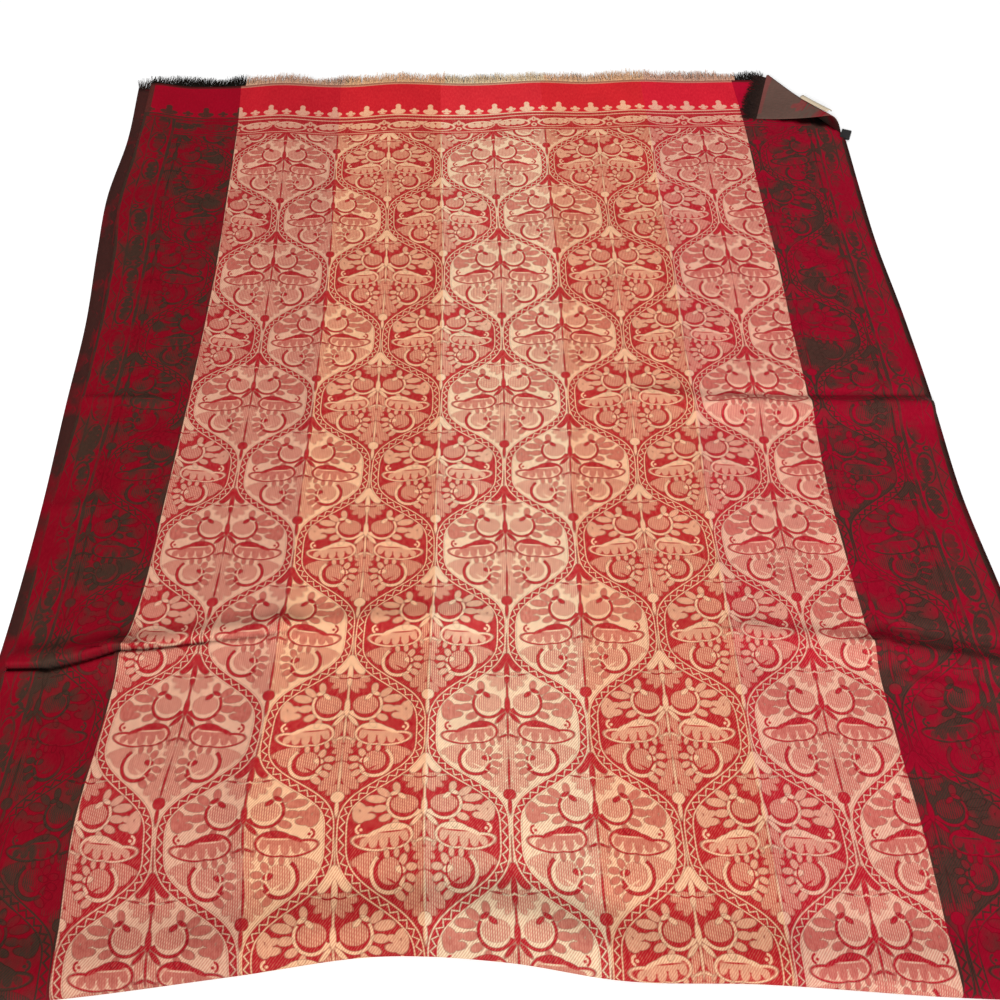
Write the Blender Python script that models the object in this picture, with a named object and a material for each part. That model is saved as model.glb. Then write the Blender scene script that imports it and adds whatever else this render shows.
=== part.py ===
import math
from collections import namedtuple

import bmesh
import bpy
import numpy as np
from mathutils import Vector

# A woven shawl folded in half across its length and laid flat, one far corner turned over.
# Metres. +X to the right, +Y towards the fringed ends, +Z up. The near fold is at -Y.
WALL = 0.0015
SEAM = 0.0003
LAYER_TOP = 2 * WALL + SEAM
FAR_EDGE = 0.423
SHEET_COLUMNS = 24
COARSE_STEP = 0.036
FINE_STEP = 0.010
CREASE_BANDS = [(-0.015, 0.020), (-0.255, -0.175)]
NEAR_SHARES = [0.35, 0.62, 0.82, 1.0]
UP = Vector((0.0, 0.0, 1.0))
EDGE_STEPS = 16
EDGE_ROUND = 0.3 * WALL
ROLL_STEPS = 6
TAIL = 0.006
EASE_TO_ROLL = 0.035
STRETCHED_FROM = -0.275

FRINGE_LENGTH = 0.013
FRINGE_UNEVEN = 0.0025
STRIP_DEPTH = 0.002
STRIP_HEIGHT = 0.0011
ROOT_SHARE = 0.34
STRAND_LEAN = 0.003
STRAND_RISE = 0.001
UNDER_FRINGE_LOWEST = 0.0006
UPPER_FRINGE_LOWEST = 0.003
CORNER_FRINGE_START = 0.06
UPPER_STRANDS = 148
UNDER_STRANDS = 72
CORNER_STRANDS = 15

# Where the side edges lie, from the far edge to the near one.
Side = namedtuple("Side", "y left right under_left")
SIDES = [
    Side(0.423, -0.3500, 0.3435, -0.3650),
    Side(0.340, -0.3475, 0.3435, -0.3600),
    Side(0.250, -0.3500, 0.3410, -0.3625),
    Side(0.180, -0.3415, 0.3397, -0.3565),
    Side(0.090, -0.3345, 0.3425, -0.3475),
    Side(0.000, -0.3320, 0.3432, -0.3440),
    Side(-0.100, -0.3325, 0.3415, -0.3395),
    Side(-0.190, -0.3300, 0.3475, -0.3385),
    Side(-0.300, -0.3350, 0.3490, -0.3420),
    Side(-0.440, -0.3420, 0.3480, -0.3460),
]
UNDER_RIGHT_PEEK = 0.003

# The near fold across the width: where it ends, how deep and how high its roll is.
Roll = namedtuple("Roll", "x y depth height")
ROLLS = [
    Roll(-0.345, -0.4330, 0.010, 0.0080),
    Roll(-0.245, -0.4270, 0.010, 0.0080),
    Roll(-0.155, -0.4175, 0.011, 0.0090),
    Roll(-0.070, -0.4085, 0.014, 0.0105),
    Roll(0.000, -0.4130, 0.020, 0.0115),
    Roll(0.063, -0.4230, 0.011, 0.0090),
    Roll(0.140, -0.4260, 0.007, 0.0080),
    Roll(0.250, -0.4345, 0.006, 0.0075),
    Roll(0.350, -0.4390, 0.006, 0.0075),
]

# Soft ridges of the upper layer: from one end to the other, how far each spreads, how high it is.
Fold = namedtuple("Fold", "x0 y0 x1 y1 reach height")
FOLDS = [
    # Cross creases near the fold, left and right.
    Fold(-0.336, -0.222, -0.262, -0.213, 0.014, 0.0065),
    Fold(-0.262, -0.213, -0.151, -0.197, 0.013, 0.0050),
    Fold(-0.151, -0.197, -0.020, -0.193, 0.012, 0.0030),
    Fold(0.165, -0.207, 0.255, -0.220, 0.012, 0.0035),
    Fold(0.255, -0.220, 0.345, -0.240, 0.013, 0.0055),
    # Cross crease in the middle, right.
    Fold(0.115, 0.004, 0.185, -0.008, 0.012, 0.0030),
    Fold(0.185, -0.008, 0.342, -0.014, 0.013, 0.0050),
    # Waves that run in from the far edge.
    Fold(-0.345, 0.425, -0.338, 0.330, 0.022, 0.0045),
    Fold(-0.215, 0.425, -0.206, 0.330, 0.034, 0.0035),
    Fold(-0.095, 0.425, -0.098, 0.350, 0.036, 0.0030),
    Fold(0.045, 0.425, 0.036, 0.330, 0.036, 0.0030),
    Fold(0.150, 0.425, 0.140, 0.340, 0.032, 0.0025),
]

# The turned corner: the ends of its fold line, its tip, and how its roll runs between them.
CORNER_FAR = Vector((0.2810, FAR_EDGE, 0.0))
CORNER_SIDE = Vector((0.3432, 0.3330, 0.0))
CORNER_TIP = Vector((0.2625, 0.3560, 0.0))
CORNER_TOP_FROM_FAR = 0.0025
CORNER_TOP_FROM_SIDE = 0.0200
CORNER_ROLL_HEIGHTS = [(0.0, 0.0100), (0.5, 0.0088), (1.0, 0.0130)]
CORNER_ROLL_REACH = 0.004
CORNER_LIP = 0.0006
CORNER_FLAT_LIFT = 0.0004
CORNER_LIFT_SPAN = 0.062
CORNER_LIFT_POWER = 1.6
CORNER_BENDS = 7
CORNER_SPANS = 6
CORNER_COLUMNS_TO_TIP, CORNER_COLUMNS_PAST_TIP = 5, 7
LEAST_REACH = 0.0006
UNDER_CORNER_PAST_FOLD = 0.002

# The cream label starts on top of the corner's roll and arches out over it.
Arch = namedtuple("Arch", "out up")
CREAM_LABEL_ARCH = [Arch(0.0, 0.0), Arch(0.004, 0.0012), Arch(0.009, 0.0004), Arch(0.014, -0.003)]
CREAM_LABEL_START, CREAM_LABEL_END = 0.52, 0.96
CREAM_LABEL_COLUMNS = 4
CREAM_LABEL_WALL = 0.001
BLACK_LABEL_SIZE = Vector((0.0090, 0.0130, 0.0016))
BLACK_LABEL_PLACE = Vector((0.3512, 0.3245, 0.0027))
BLACK_LABEL_TURN = math.radians(-22)
BLACK_LABEL_BEVEL = 0.0004

FACE_RED = (0.46, 0.13, 0.09, 1.0)
DARK_BACK = (0.060, 0.018, 0.016, 1.0)
OLIVE_BACK = (0.085, 0.060, 0.045, 1.0)
DARK_THREAD = (0.020, 0.014, 0.013, 1.0)
CREAM_THREAD = (0.55, 0.40, 0.26, 1.0)
CREAM_TAPE = (0.60, 0.50, 0.36, 1.0)
BLACK_TAPE = (0.012, 0.012, 0.013, 1.0)


def smooth_through(places, values, at):
    """A curve through the values, with the slope at each from its neighbours."""
    order = np.argsort(places)
    places = np.asarray(places, float)[order]
    values = np.asarray(values, float)[order]
    slopes = np.gradient(values, places)
    at = min(max(at, places[0]), places[-1])
    i = int(min(np.searchsorted(places, at, side="right") - 1, len(places) - 2))
    span = places[i + 1] - places[i]
    t = (at - places[i]) / span
    start = (1 + 2 * t) * (1 - t) ** 2 * values[i] + t * (1 - t) ** 2 * span * slopes[i]
    end = t * t * (3 - 2 * t) * values[i + 1] + t * t * (t - 1) * span * slopes[i + 1]
    return float(start + end)


def side_at(name, y):
    return smooth_through([s.y for s in SIDES], [getattr(s, name) for s in SIDES], y)


def roll_at(name, x):
    return smooth_through([r.x for r in ROLLS], [getattr(r, name) for r in ROLLS], x)


def eased(t):
    t = min(max(t, 0.0), 1.0)
    return t * t * (3 - 2 * t)


def fold_height(x, y):
    """How far the ridges lift the upper layer at a place."""
    lift = 0.0
    for fold in FOLDS:
        along = Vector((fold.x1 - fold.x0, fold.y1 - fold.y0))
        offset = Vector((x - fold.x0, y - fold.y0))
        t = min(max(offset.dot(along) / along.length_squared, 0.0), 1.0)
        distance = (offset - along * t).length
        lift += fold.height * math.exp(-((distance / fold.reach) ** 2))
    return lift


def ridge_line(x):
    return roll_at("y", x) + roll_at("depth", x)


def sheet_height(x, y):
    """The face of the upper layer, from the far edge to the top of the near roll."""
    rise = roll_at("height", x) - LAYER_TOP
    near = eased(1 - (y - ridge_line(x)) / EASE_TO_ROLL)
    return LAYER_TOP + fold_height(x, y) * (1 - near) + rise * near


def row_places():
    """Rows across the sheet, close together over the cross creases."""
    places = [FAR_EDGE]
    while places[-1] > STRETCHED_FROM:
        step = COARSE_STEP
        for low, high in CREASE_BANDS:
            if low - FINE_STEP < places[-1] < high + FINE_STEP:
                step = FINE_STEP
        places.append(places[-1] - step)
    near = places[-1]
    middle = ridge_line(0.0)
    for share in NEAR_SHARES:
        places.append(near + (middle - near) * share)
    return places


def sheet_point(share, place):
    """A point of the upper layer, a share of the way across at one of its rows."""
    x = side_at("left", place) + share * (side_at("right", place) - side_at("left", place))
    middle = ridge_line(0.0)
    pull = min(max((STRETCHED_FROM - place) / (STRETCHED_FROM - middle), 0.0), 1.0)
    y = place + (ridge_line(x) - middle) * pull
    return Vector((x, y, sheet_height(x, y)))


def roll_points(share):
    """The near roll at one column: over its top, down its front, then flat on the surface."""
    top = sheet_point(share, ridge_line(0.0))
    depth, height = roll_at("depth", top.x), roll_at("height", top.x)
    points = []
    for step in range(1, ROLL_STEPS + 1):
        angle = math.pi * step / ROLL_STEPS
        y = top.y - depth * math.sin(angle)
        z = height / 2 + height / 2 * math.cos(angle)
        points.append(Vector((top.x, y, z)))
    points.append(Vector((top.x, top.y + TAIL, 0.0)))
    return points


def material(name, colour, roughness):
    made = bpy.data.materials.new(name)
    made.use_nodes = True
    shader = made.node_tree.nodes["Principled BSDF"]
    shader.inputs["Base Color"].default_value = colour
    shader.inputs["Roughness"].default_value = roughness
    shader.inputs["Metallic"].default_value = 0.0
    return made


def place_object(name, mesh_data, colour, roughness=0.85):
    """A mesh as an object of the scene, closed faces out, in its own material."""
    mesh = bpy.data.meshes.new(name)
    mesh_data.to_mesh(mesh)
    mesh_data.free()
    mesh.materials.append(material(name, colour, roughness))
    made = bpy.data.objects.new(name, mesh)
    bpy.context.scene.collection.objects.link(made)
    mesh.shade_smooth()
    return made


def grid_of(columns):
    """A sheet through columns of points, all of one length, its faces up where the rows run to -Y."""
    sheet = bmesh.new()
    made = [[sheet.verts.new(point) for point in column] for column in columns]
    for left, right in zip(made, made[1:]):
        for i in range(len(left) - 1):
            sheet.faces.new((left[i], left[i + 1], right[i + 1], right[i]))
    return sheet


def give_wall(obj, thickness):
    wall = obj.modifiers.new("cloth wall", "SOLIDIFY")
    wall.thickness = thickness
    wall.offset = -1.0
    return wall


def corner_frame():
    """The fold line's length and direction, and the way from it towards the tip."""
    along = CORNER_SIDE - CORNER_FAR
    length = along.length
    along.normalize()
    inward = Vector((along.y, -along.x, 0.0))
    return length, along, inward


def make_upper_layer():
    rows = row_places()
    columns = []
    for i in range(SHEET_COLUMNS + 1):
        share = i / SHEET_COLUMNS
        columns.append([sheet_point(share, row) for row in rows] + roll_points(share))
    sheet = grid_of(columns)
    _, _, inward = corner_frame()
    bmesh.ops.bisect_plane(
        sheet,
        geom=sheet.verts[:] + sheet.edges[:] + sheet.faces[:],
        plane_co=CORNER_FAR + inward * SEAM,
        plane_no=-inward,
        clear_outer=True,
    )
    give_wall(place_object("upper_layer", sheet, FACE_RED), WALL)


def under_outline():
    """The under layer's edge, anticlockwise from the far left corner."""
    _, along, inward = corner_frame()
    step = (FAR_EDGE - ridge_line(0.0)) / EDGE_STEPS
    steps = [FAR_EDGE - i * step for i in range(EDGE_STEPS + 1)]
    left = [Vector((side_at("under_left", y), y, 0.0)) for y in steps[:-1]]
    near = []
    for i in range(SHEET_COLUMNS + 1):
        top = sheet_point(i / SHEET_COLUMNS, ridge_line(0.0))
        near.append(Vector((top.x, top.y + TAIL + SEAM, 0.0)))
    near.insert(0, Vector((side_at("under_left", near[0].y), near[0].y, 0.0)))
    near.append(near[-1] + Vector((UNDER_RIGHT_PEEK, 0.0, 0.0)))
    edge = CORNER_SIDE - inward * UNDER_CORNER_PAST_FOLD
    right = []
    for y in reversed(steps[:-1]):
        if y < edge.y:
            right.append(Vector((side_at("right", y) + UNDER_RIGHT_PEEK, y, 0.0)))
    start = edge + along * UNDER_RIGHT_PEEK
    end = CORNER_FAR - inward * UNDER_CORNER_PAST_FOLD
    end -= along * ((end.y - FAR_EDGE) / along.y)
    return left + near + right + [start, end]


def make_under_layer():
    """The lower half of the cloth: flat underneath, its edges rounded."""
    flat = bmesh.new()
    outline = flat.faces.new([flat.verts.new(point) for point in under_outline()])
    raised = bmesh.ops.extrude_face_region(flat, geom=[outline])["geom"]
    lifted = [item for item in raised if isinstance(item, bmesh.types.BMVert)]
    bmesh.ops.translate(flat, vec=(0.0, 0.0, WALL), verts=lifted)
    bmesh.ops.recalc_face_normals(flat, faces=flat.faces[:])
    top = [edge for edge in flat.edges if all(v.co.z > WALL / 2 for v in edge.verts)]
    bmesh.ops.bevel(flat, geom=top, offset=EDGE_ROUND, segments=1, affect="EDGES")
    place_object("under_layer", flat, DARK_BACK)


def corner_top(share):
    """A point over the fold line, at the top of the corner's roll. Its ends slant, as the edges do."""
    length, along, _ = corner_frame()
    first, last = CORNER_TOP_FROM_FAR, length - CORNER_TOP_FROM_SIDE
    top = CORNER_FAR + along * (first + share * (last - first))
    heights = CORNER_ROLL_HEIGHTS
    top.z = smooth_through([h[0] for h in heights], [h[1] for h in heights], share)
    return top


def corner_point(share, reach):
    """The flap's upper side: a share along the top of its roll, some reach in from it."""
    _, _, inward = corner_frame()
    top = corner_top(share)
    place = top + inward * reach
    flat = LAYER_TOP + SEAM + WALL + CORNER_FLAT_LIFT + fold_height(place.x, place.y)
    lift = max(1 - reach / CORNER_LIFT_SPAN, 0.0) ** CORNER_LIFT_POWER
    place.z = flat + max(top.z - flat, 0.0) * lift
    return place


def tip_on_roll():
    """Where the tip lies: its share along the roll's top and its reach in from it."""
    _, along, inward = corner_frame()
    start, end = corner_top(0.0), corner_top(1.0)
    tip = CORNER_TIP - start
    return tip.dot(along) / (end - start).dot(along), tip.dot(inward)


def corner_reach(share):
    """How far the flap reaches in from its fold line, at a share along it."""
    tip_share, deepest = tip_on_roll()
    side = share / tip_share if share < tip_share else (1 - share) / (1 - tip_share)
    return max(deepest * side, LEAST_REACH)


def corner_shares():
    tip_share, _ = tip_on_roll()
    before, after = CORNER_COLUMNS_TO_TIP, CORNER_COLUMNS_PAST_TIP
    shares = [tip_share * i / before for i in range(before)]
    return shares + [tip_share + (1 - tip_share) * i / after for i in range(after + 1)]


def make_turned_corner():
    """The corner rolled over: out from under the upper layer, round, and over onto its face."""
    _, _, inward = corner_frame()
    low = WALL + SEAM
    columns = []
    for share in corner_shares():
        root = CORNER_FAR.lerp(CORNER_SIDE, share)
        top = corner_top(share)
        column = []
        for bend in range(CORNER_BENDS):
            angle = math.pi * bend / CORNER_BENDS
            point = root.lerp(Vector((top.x, top.y, 0.0)), bend / CORNER_BENDS)
            point -= inward * (CORNER_LIP + CORNER_ROLL_REACH * math.sin(angle))
            point.z = (top.z + low) / 2 - (top.z - low) / 2 * math.cos(angle)
            column.append(point)
        for span in range(CORNER_SPANS + 1):
            column.append(corner_point(share, corner_reach(share) * span / CORNER_SPANS))
        columns.append(column)
    sheet = grid_of(columns)
    bmesh.ops.reverse_faces(sheet, faces=sheet.faces[:])
    flap = place_object("turned_corner", sheet, OLIVE_BACK)
    give_wall(flap, WALL)
    turn_out(flap)


def turn_out(obj):
    """Turns a sheet over if its side that should face up faces down."""
    mesh = obj.data
    highest = max(mesh.polygons, key=lambda face: face.center.z)
    if highest.normal.z < 0:
        mesh.flip_normals()


def fringe(name, roots, outward, seed, colour, lowest):
    """Strands out of a narrow strip. roots holds the strip's points, one at each strand's sides."""
    chance = np.random.default_rng(seed)
    body = bmesh.new()
    half = UP * STRIP_HEIGHT / 2
    near_top = [body.verts.new(point + half) for point in roots]
    near_low = [body.verts.new(point - half) for point in roots]
    edge = [point + outward * STRIP_DEPTH for point in roots]
    far_top = [body.verts.new(point + half) for point in edge]
    far_low = [body.verts.new(point - half) for point in edge]
    for i in range(len(roots) - 1):
        body.faces.new((near_top[i], near_top[i + 1], far_top[i + 1], far_top[i]))
        body.faces.new((near_low[i], far_low[i], far_low[i + 1], near_low[i + 1]))
        body.faces.new((near_top[i], near_low[i], near_low[i + 1], near_top[i + 1]))
        corners = (far_top[i], far_top[i + 1], far_low[i + 1], far_low[i])
        if i % 2 == 0:
            body.faces.new(corners)
            continue
        root = (edge[i] + edge[i + 1]) / 2
        aside = (edge[i + 1] - edge[i]).normalized() * chance.uniform(-STRAND_LEAN, STRAND_LEAN)
        length = FRINGE_LENGTH + chance.uniform(-FRINGE_UNEVEN, FRINGE_UNEVEN)
        tip = root + outward * length + aside
        tip.z = max(root.z + chance.uniform(-STRAND_RISE, STRAND_RISE), lowest)
        end = body.verts.new(tip)
        for a, b in zip(corners, corners[1:] + corners[:1]):
            body.faces.new((a, b, end))
    body.faces.new((near_top[0], far_top[0], far_low[0], near_low[0]))
    body.faces.new((near_top[-1], near_low[-1], far_low[-1], far_top[-1]))
    bmesh.ops.recalc_face_normals(body, faces=body.faces[:])
    place_object(name, body, colour)


def root_shares(count):
    """Where each strand starts and ends along its strip, with a gap before, between and after."""
    pitch = 1.0 / count
    shares = [0.0]
    for i in range(count):
        middle = (i + 0.5) * pitch
        shares += [middle - pitch * ROOT_SHARE / 2, middle + pitch * ROOT_SHARE / 2]
    return shares + [1.0]


def make_upper_fringe():
    left, right = side_at("left", FAR_EDGE), CORNER_FAR.x - 0.0015
    roots = []
    for share in root_shares(UPPER_STRANDS):
        x = left + share * (right - left)
        z = sheet_height(x, FAR_EDGE) - WALL / 2
        roots.append(Vector((x, FAR_EDGE + SEAM, z)))
    fringe("upper_fringe", roots, Vector((0.0, 1.0, 0.0)), 4, CREAM_THREAD, UPPER_FRINGE_LOWEST)


def make_under_fringe():
    left, right = side_at("under_left", FAR_EDGE), CORNER_FAR.x
    roots = []
    for share in root_shares(UNDER_STRANDS):
        x = left + share * (right - left)
        roots.append(Vector((x, FAR_EDGE + SEAM, WALL / 2)))
    fringe("under_fringe", roots, Vector((0.0, 1.0, 0.0)), 9, DARK_THREAD, UNDER_FRINGE_LOWEST)


def make_corner_fringe():
    """The fringe along the flap's edge, from the far end of its roll to its tip."""
    tip_share, deepest = tip_on_roll()
    edge = CORNER_TIP - corner_top(0.0)
    outward = Vector((edge.y, -edge.x, 0.0)).normalized()
    roots = []
    for share in root_shares(CORNER_STRANDS):
        part = CORNER_FRINGE_START + (1 - CORNER_FRINGE_START) * share
        point = corner_point(tip_share * part, deepest * part)
        roots.append(point + outward * 2 * SEAM - UP * WALL / 2)
    fringe("corner_fringe", roots, outward, 2, DARK_THREAD, LAYER_TOP + SEAM)


def make_cream_label():
    """A bare label on the back of the cloth, arched out over the turned corner's roll."""
    _, _, inward = corner_frame()
    columns = []
    for i in range(CREAM_LABEL_COLUMNS + 1):
        part = i / CREAM_LABEL_COLUMNS
        root = corner_top(CREAM_LABEL_START + (CREAM_LABEL_END - CREAM_LABEL_START) * part)
        root.z += 2 * SEAM + CREAM_LABEL_WALL
        columns.append([root - inward * arch.out + UP * arch.up for arch in CREAM_LABEL_ARCH])
    label = place_object("cream_label", grid_of(columns), CREAM_TAPE, 0.7)
    give_wall(label, CREAM_LABEL_WALL)
    turn_out(label)


def make_black_label():
    tab = bmesh.new()
    bmesh.ops.create_cube(tab, size=1.0)
    bmesh.ops.scale(tab, vec=BLACK_LABEL_SIZE, verts=tab.verts[:])
    bmesh.ops.bevel(tab, geom=tab.edges[:], offset=BLACK_LABEL_BEVEL, segments=1, affect="EDGES")
    label = place_object("black_label", tab, BLACK_TAPE, 0.6)
    label.location = BLACK_LABEL_PLACE
    label.rotation_euler.z = BLACK_LABEL_TURN


def stand_on_origin():
    """Moves the whole so that the middle of its box's underside is at the origin."""
    bpy.context.view_layer.update()
    graph = bpy.context.evaluated_depsgraph_get()
    corners = []
    for obj in bpy.data.objects:
        evaluated = obj.evaluated_get(graph)
        mesh = evaluated.to_mesh()
        corners += [obj.matrix_world @ vertex.co for vertex in mesh.vertices]
        evaluated.to_mesh_clear()
    low = Vector([min(c[i] for c in corners) for i in range(3)])
    high = Vector([max(c[i] for c in corners) for i in range(3)])
    middle = Vector(((low.x + high.x) / 2, (low.y + high.y) / 2, low.z))
    for obj in bpy.data.objects:
        obj.location -= middle
    print("moved by", [round(-value, 5) for value in middle])


def main():
    for obj in list(bpy.data.objects):
        bpy.data.objects.remove(obj, do_unlink=True)
    make_upper_layer()
    make_under_layer()
    make_turned_corner()
    make_upper_fringe()
    make_under_fringe()
    make_corner_fringe()
    make_cream_label()
    make_black_label()
    stand_on_origin()


main()
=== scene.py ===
import math
from collections import namedtuple

import bmesh
import bpy
import numpy as np
from mathutils import Matrix, Vector


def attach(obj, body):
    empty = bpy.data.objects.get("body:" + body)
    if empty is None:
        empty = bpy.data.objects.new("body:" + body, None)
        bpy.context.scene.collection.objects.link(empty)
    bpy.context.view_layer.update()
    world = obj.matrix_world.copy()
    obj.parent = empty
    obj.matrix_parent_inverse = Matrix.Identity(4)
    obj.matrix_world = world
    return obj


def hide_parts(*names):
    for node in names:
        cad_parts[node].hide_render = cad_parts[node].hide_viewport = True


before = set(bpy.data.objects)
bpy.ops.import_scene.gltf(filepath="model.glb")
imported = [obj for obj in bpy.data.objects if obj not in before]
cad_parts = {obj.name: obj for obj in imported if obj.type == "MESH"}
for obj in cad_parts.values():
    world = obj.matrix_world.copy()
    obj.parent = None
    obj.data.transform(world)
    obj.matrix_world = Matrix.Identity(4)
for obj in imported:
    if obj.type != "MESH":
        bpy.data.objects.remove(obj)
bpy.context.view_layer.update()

# A jacquard shawl, folded in half and laid flat. Metres, in the frame's own place.
# Design places are measured from the middle of the shawl, and the solids stand this far from them.
standsAt = Vector((0.00367, -0.00093, 0.0))
up = Vector((0.0, 0.0, 1.0))

cloth = {
    "wall": 0.0015,  # the solids' wall, which sets where the face lies
    "seam": 0.0003,
    "farEdge": 0.423,
    "thickness": 0.0009,  # the woven cloth itself
    "columnPitch": 0.0513,  # half the width of an ogee
    "rowPitch": 0.0699,  # half its height
    "columns": 150,
    "coarseStep": 0.0045,
    "creaseStep": 0.0013,
    "creaseBands": [(-0.022, 0.014), (-0.250, -0.186)],
    "nearRows": 34,
    "rollSteps": 22,
    "tailSteps": 3,
    "tail": 0.006,
    "easeToRoll": 0.035,
    "stretchedFrom": -0.275,
}
layerTop = 2 * cloth["wall"] + cloth["seam"]

# Where the side edges lie, from the far edge to the near one.
Side = namedtuple("Side", "y left right underLeft")
sides = [
    Side(0.423, -0.3500, 0.3435, -0.3650),
    Side(0.340, -0.3475, 0.3435, -0.3600),
    Side(0.250, -0.3500, 0.3410, -0.3625),
    Side(0.180, -0.3415, 0.3397, -0.3565),
    Side(0.090, -0.3345, 0.3425, -0.3475),
    Side(0.000, -0.3320, 0.3432, -0.3440),
    Side(-0.100, -0.3325, 0.3415, -0.3395),
    Side(-0.190, -0.3300, 0.3475, -0.3385),
    Side(-0.300, -0.3350, 0.3490, -0.3420),
    Side(-0.440, -0.3420, 0.3480, -0.3460),
]
underRightPeek = 0.003

# The near fold across the width: where it ends, how deep and how high its roll is.
Roll = namedtuple("Roll", "x y depth height")
rolls = [
    Roll(-0.345, -0.4330, 0.010, 0.0080),
    Roll(-0.245, -0.4270, 0.010, 0.0080),
    Roll(-0.155, -0.4175, 0.011, 0.0090),
    Roll(-0.070, -0.4085, 0.014, 0.0105),
    Roll(0.000, -0.4130, 0.020, 0.0115),
    Roll(0.063, -0.4230, 0.011, 0.0090),
    Roll(0.140, -0.4260, 0.007, 0.0080),
    Roll(0.250, -0.4345, 0.006, 0.0075),
    Roll(0.350, -0.4390, 0.006, 0.0075),
]

# Soft ridges: from one end to the other, how far each spreads towards the fold and away, how high.
Fold = namedtuple("Fold", "x0 y0 x1 y1 near far height")
folds = [
    Fold(-0.336, -0.222, -0.262, -0.213, 0.016, 0.008, 0.0044),
    Fold(-0.262, -0.213, -0.151, -0.197, 0.015, 0.008, 0.0040),
    Fold(-0.151, -0.197, -0.020, -0.193, 0.013, 0.009, 0.0028),
    Fold(0.165, -0.207, 0.255, -0.220, 0.013, 0.008, 0.0034),
    Fold(0.255, -0.220, 0.345, -0.240, 0.015, 0.007, 0.0052),
    Fold(0.115, 0.004, 0.185, -0.008, 0.013, 0.008, 0.0028),
    Fold(0.185, -0.008, 0.342, -0.014, 0.015, 0.007, 0.0048),
    Fold(-0.345, 0.425, -0.338, 0.330, 0.022, 0.022, 0.0045),
    Fold(-0.215, 0.425, -0.206, 0.330, 0.034, 0.034, 0.0035),
    Fold(-0.095, 0.425, -0.098, 0.350, 0.036, 0.036, 0.0030),
    Fold(0.045, 0.425, 0.036, 0.330, 0.036, 0.036, 0.0030),
    Fold(0.150, 0.425, 0.140, 0.340, 0.032, 0.032, 0.0025),
    # Tucks: narrow troughs beside the cross creases.
    Fold(-0.338, -0.2278, -0.304, -0.2274, 0.0016, 0.0016, -0.0050),
    Fold(-0.304, -0.2274, -0.263, -0.2176, 0.0022, 0.0020, -0.0080),
    Fold(-0.263, -0.2176, -0.204, -0.2106, 0.0014, 0.0014, -0.0040),
    Fold(-0.090, -0.3795, 0.000, -0.3870, 0.009, 0.012, -0.0052),
    Fold(0.000, -0.3870, 0.050, -0.3870, 0.009, 0.012, -0.0042),
    Fold(-0.204, -0.2106, -0.150, -0.2050, 0.0014, 0.0014, -0.0022),
    Fold(0.262, -0.205, 0.345, -0.222, 0.003, 0.004, -0.0022),
    Fold(0.190, 0.004, 0.340, -0.001, 0.003, 0.005, -0.0016),
    # Small wrinkles.
    Fold(-0.330, 0.006, -0.262, 0.004, 0.007, 0.004, 0.0016),
    Fold(-0.332, -0.098, -0.300, -0.096, 0.006, 0.004, 0.0014),
    Fold(0.262, -0.245, 0.345, -0.262, 0.006, 0.005, 0.0020),
]

# The turned corner, as in the solids.
cornerFold = {
    "far": Vector((0.2810, 0.423, 0.0)),
    "side": Vector((0.3432, 0.3330, 0.0)),
    "tip": Vector((0.2625, 0.3560, 0.0)),
    "clothCorner": Vector((0.3435, 0.4230, 0.0)),
    "topFromFar": 0.0025,
    "topFromSide": 0.0200,
    "rollHeights": [(0.0, 0.0100), (0.5, 0.0088), (1.0, 0.0130)],
    "rollReach": 0.004,
    "lip": 0.0006,
    "flatLift": 0.0004,
    "liftSpan": 0.062,
    "liftPower": 1.6,
    "bends": 18,
    "spans": 34,
    "columnsToTip": 22,
    "columnsPastTip": 30,
    "leastReach": 0.0006,
    "underPastFold": 0.002,
}


def smoothThrough(places, values, at):
    order = np.argsort(places)
    places, values = np.asarray(places, float)[order], np.asarray(values, float)[order]
    slopes = np.gradient(values, places)
    at = np.clip(at, places[0], places[-1])
    i = np.minimum(np.searchsorted(places, at, side="right") - 1, len(places) - 2)
    span = places[i + 1] - places[i]
    t = (at - places[i]) / span
    start = (1 + 2 * t) * (1 - t) ** 2 * values[i] + t * (1 - t) ** 2 * span * slopes[i]
    end = t * t * (3 - 2 * t) * values[i + 1] + t * t * (t - 1) * span * slopes[i + 1]
    return start + end


def sideAt(name, y):
    return smoothThrough([s.y for s in sides], [getattr(s, name) for s in sides], y)


def rollAt(name, x):
    return smoothThrough([r.x for r in rolls], [getattr(r, name) for r in rolls], x)


def eased(t):
    t = np.clip(t, 0.0, 1.0)
    return t * t * (3 - 2 * t)


def foldHeight(x, y):
    lift = np.zeros(np.broadcast(x, y).shape)
    for fold in folds:
        ax, ay = fold.x1 - fold.x0, fold.y1 - fold.y0
        dx, dy = x - fold.x0, y - fold.y0
        t = (dx * ax + dy * ay) / (ax * ax + ay * ay)
        past = np.clip(t, 0.0, 1.0)
        across = (dx * ay - dy * ax) / math.hypot(ax, ay)
        reach = np.where(across > 0, fold.near, fold.far)
        distance = np.hypot(dx - past * ax, dy - past * ay)
        lift = lift + fold.height * np.exp(-((distance / reach) ** 2))
    return lift


def looseness(x, y):  # the cloth never lies quite flat
    wave = np.sin(31 * x + 14 * y + 0.6) * np.sin(23 * y - 9 * x + 1.1)
    ripple = np.sin(74 * x - 21 * y) * np.sin(57 * y + 33 * x + 0.4)
    return 0.00045 * wave + 0.00018 * ripple


def ridgeLine(x):
    return rollAt("y", x) + rollAt("depth", x)


def sheetHeight(x, y):
    rise = rollAt("height", x) - layerTop
    near = eased(1 - (y - ridgeLine(x)) / cloth["easeToRoll"])
    relief = np.maximum(foldHeight(x, y) + looseness(x, y), -0.0012)
    return layerTop + relief * (1 - near) + rise * near


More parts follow.
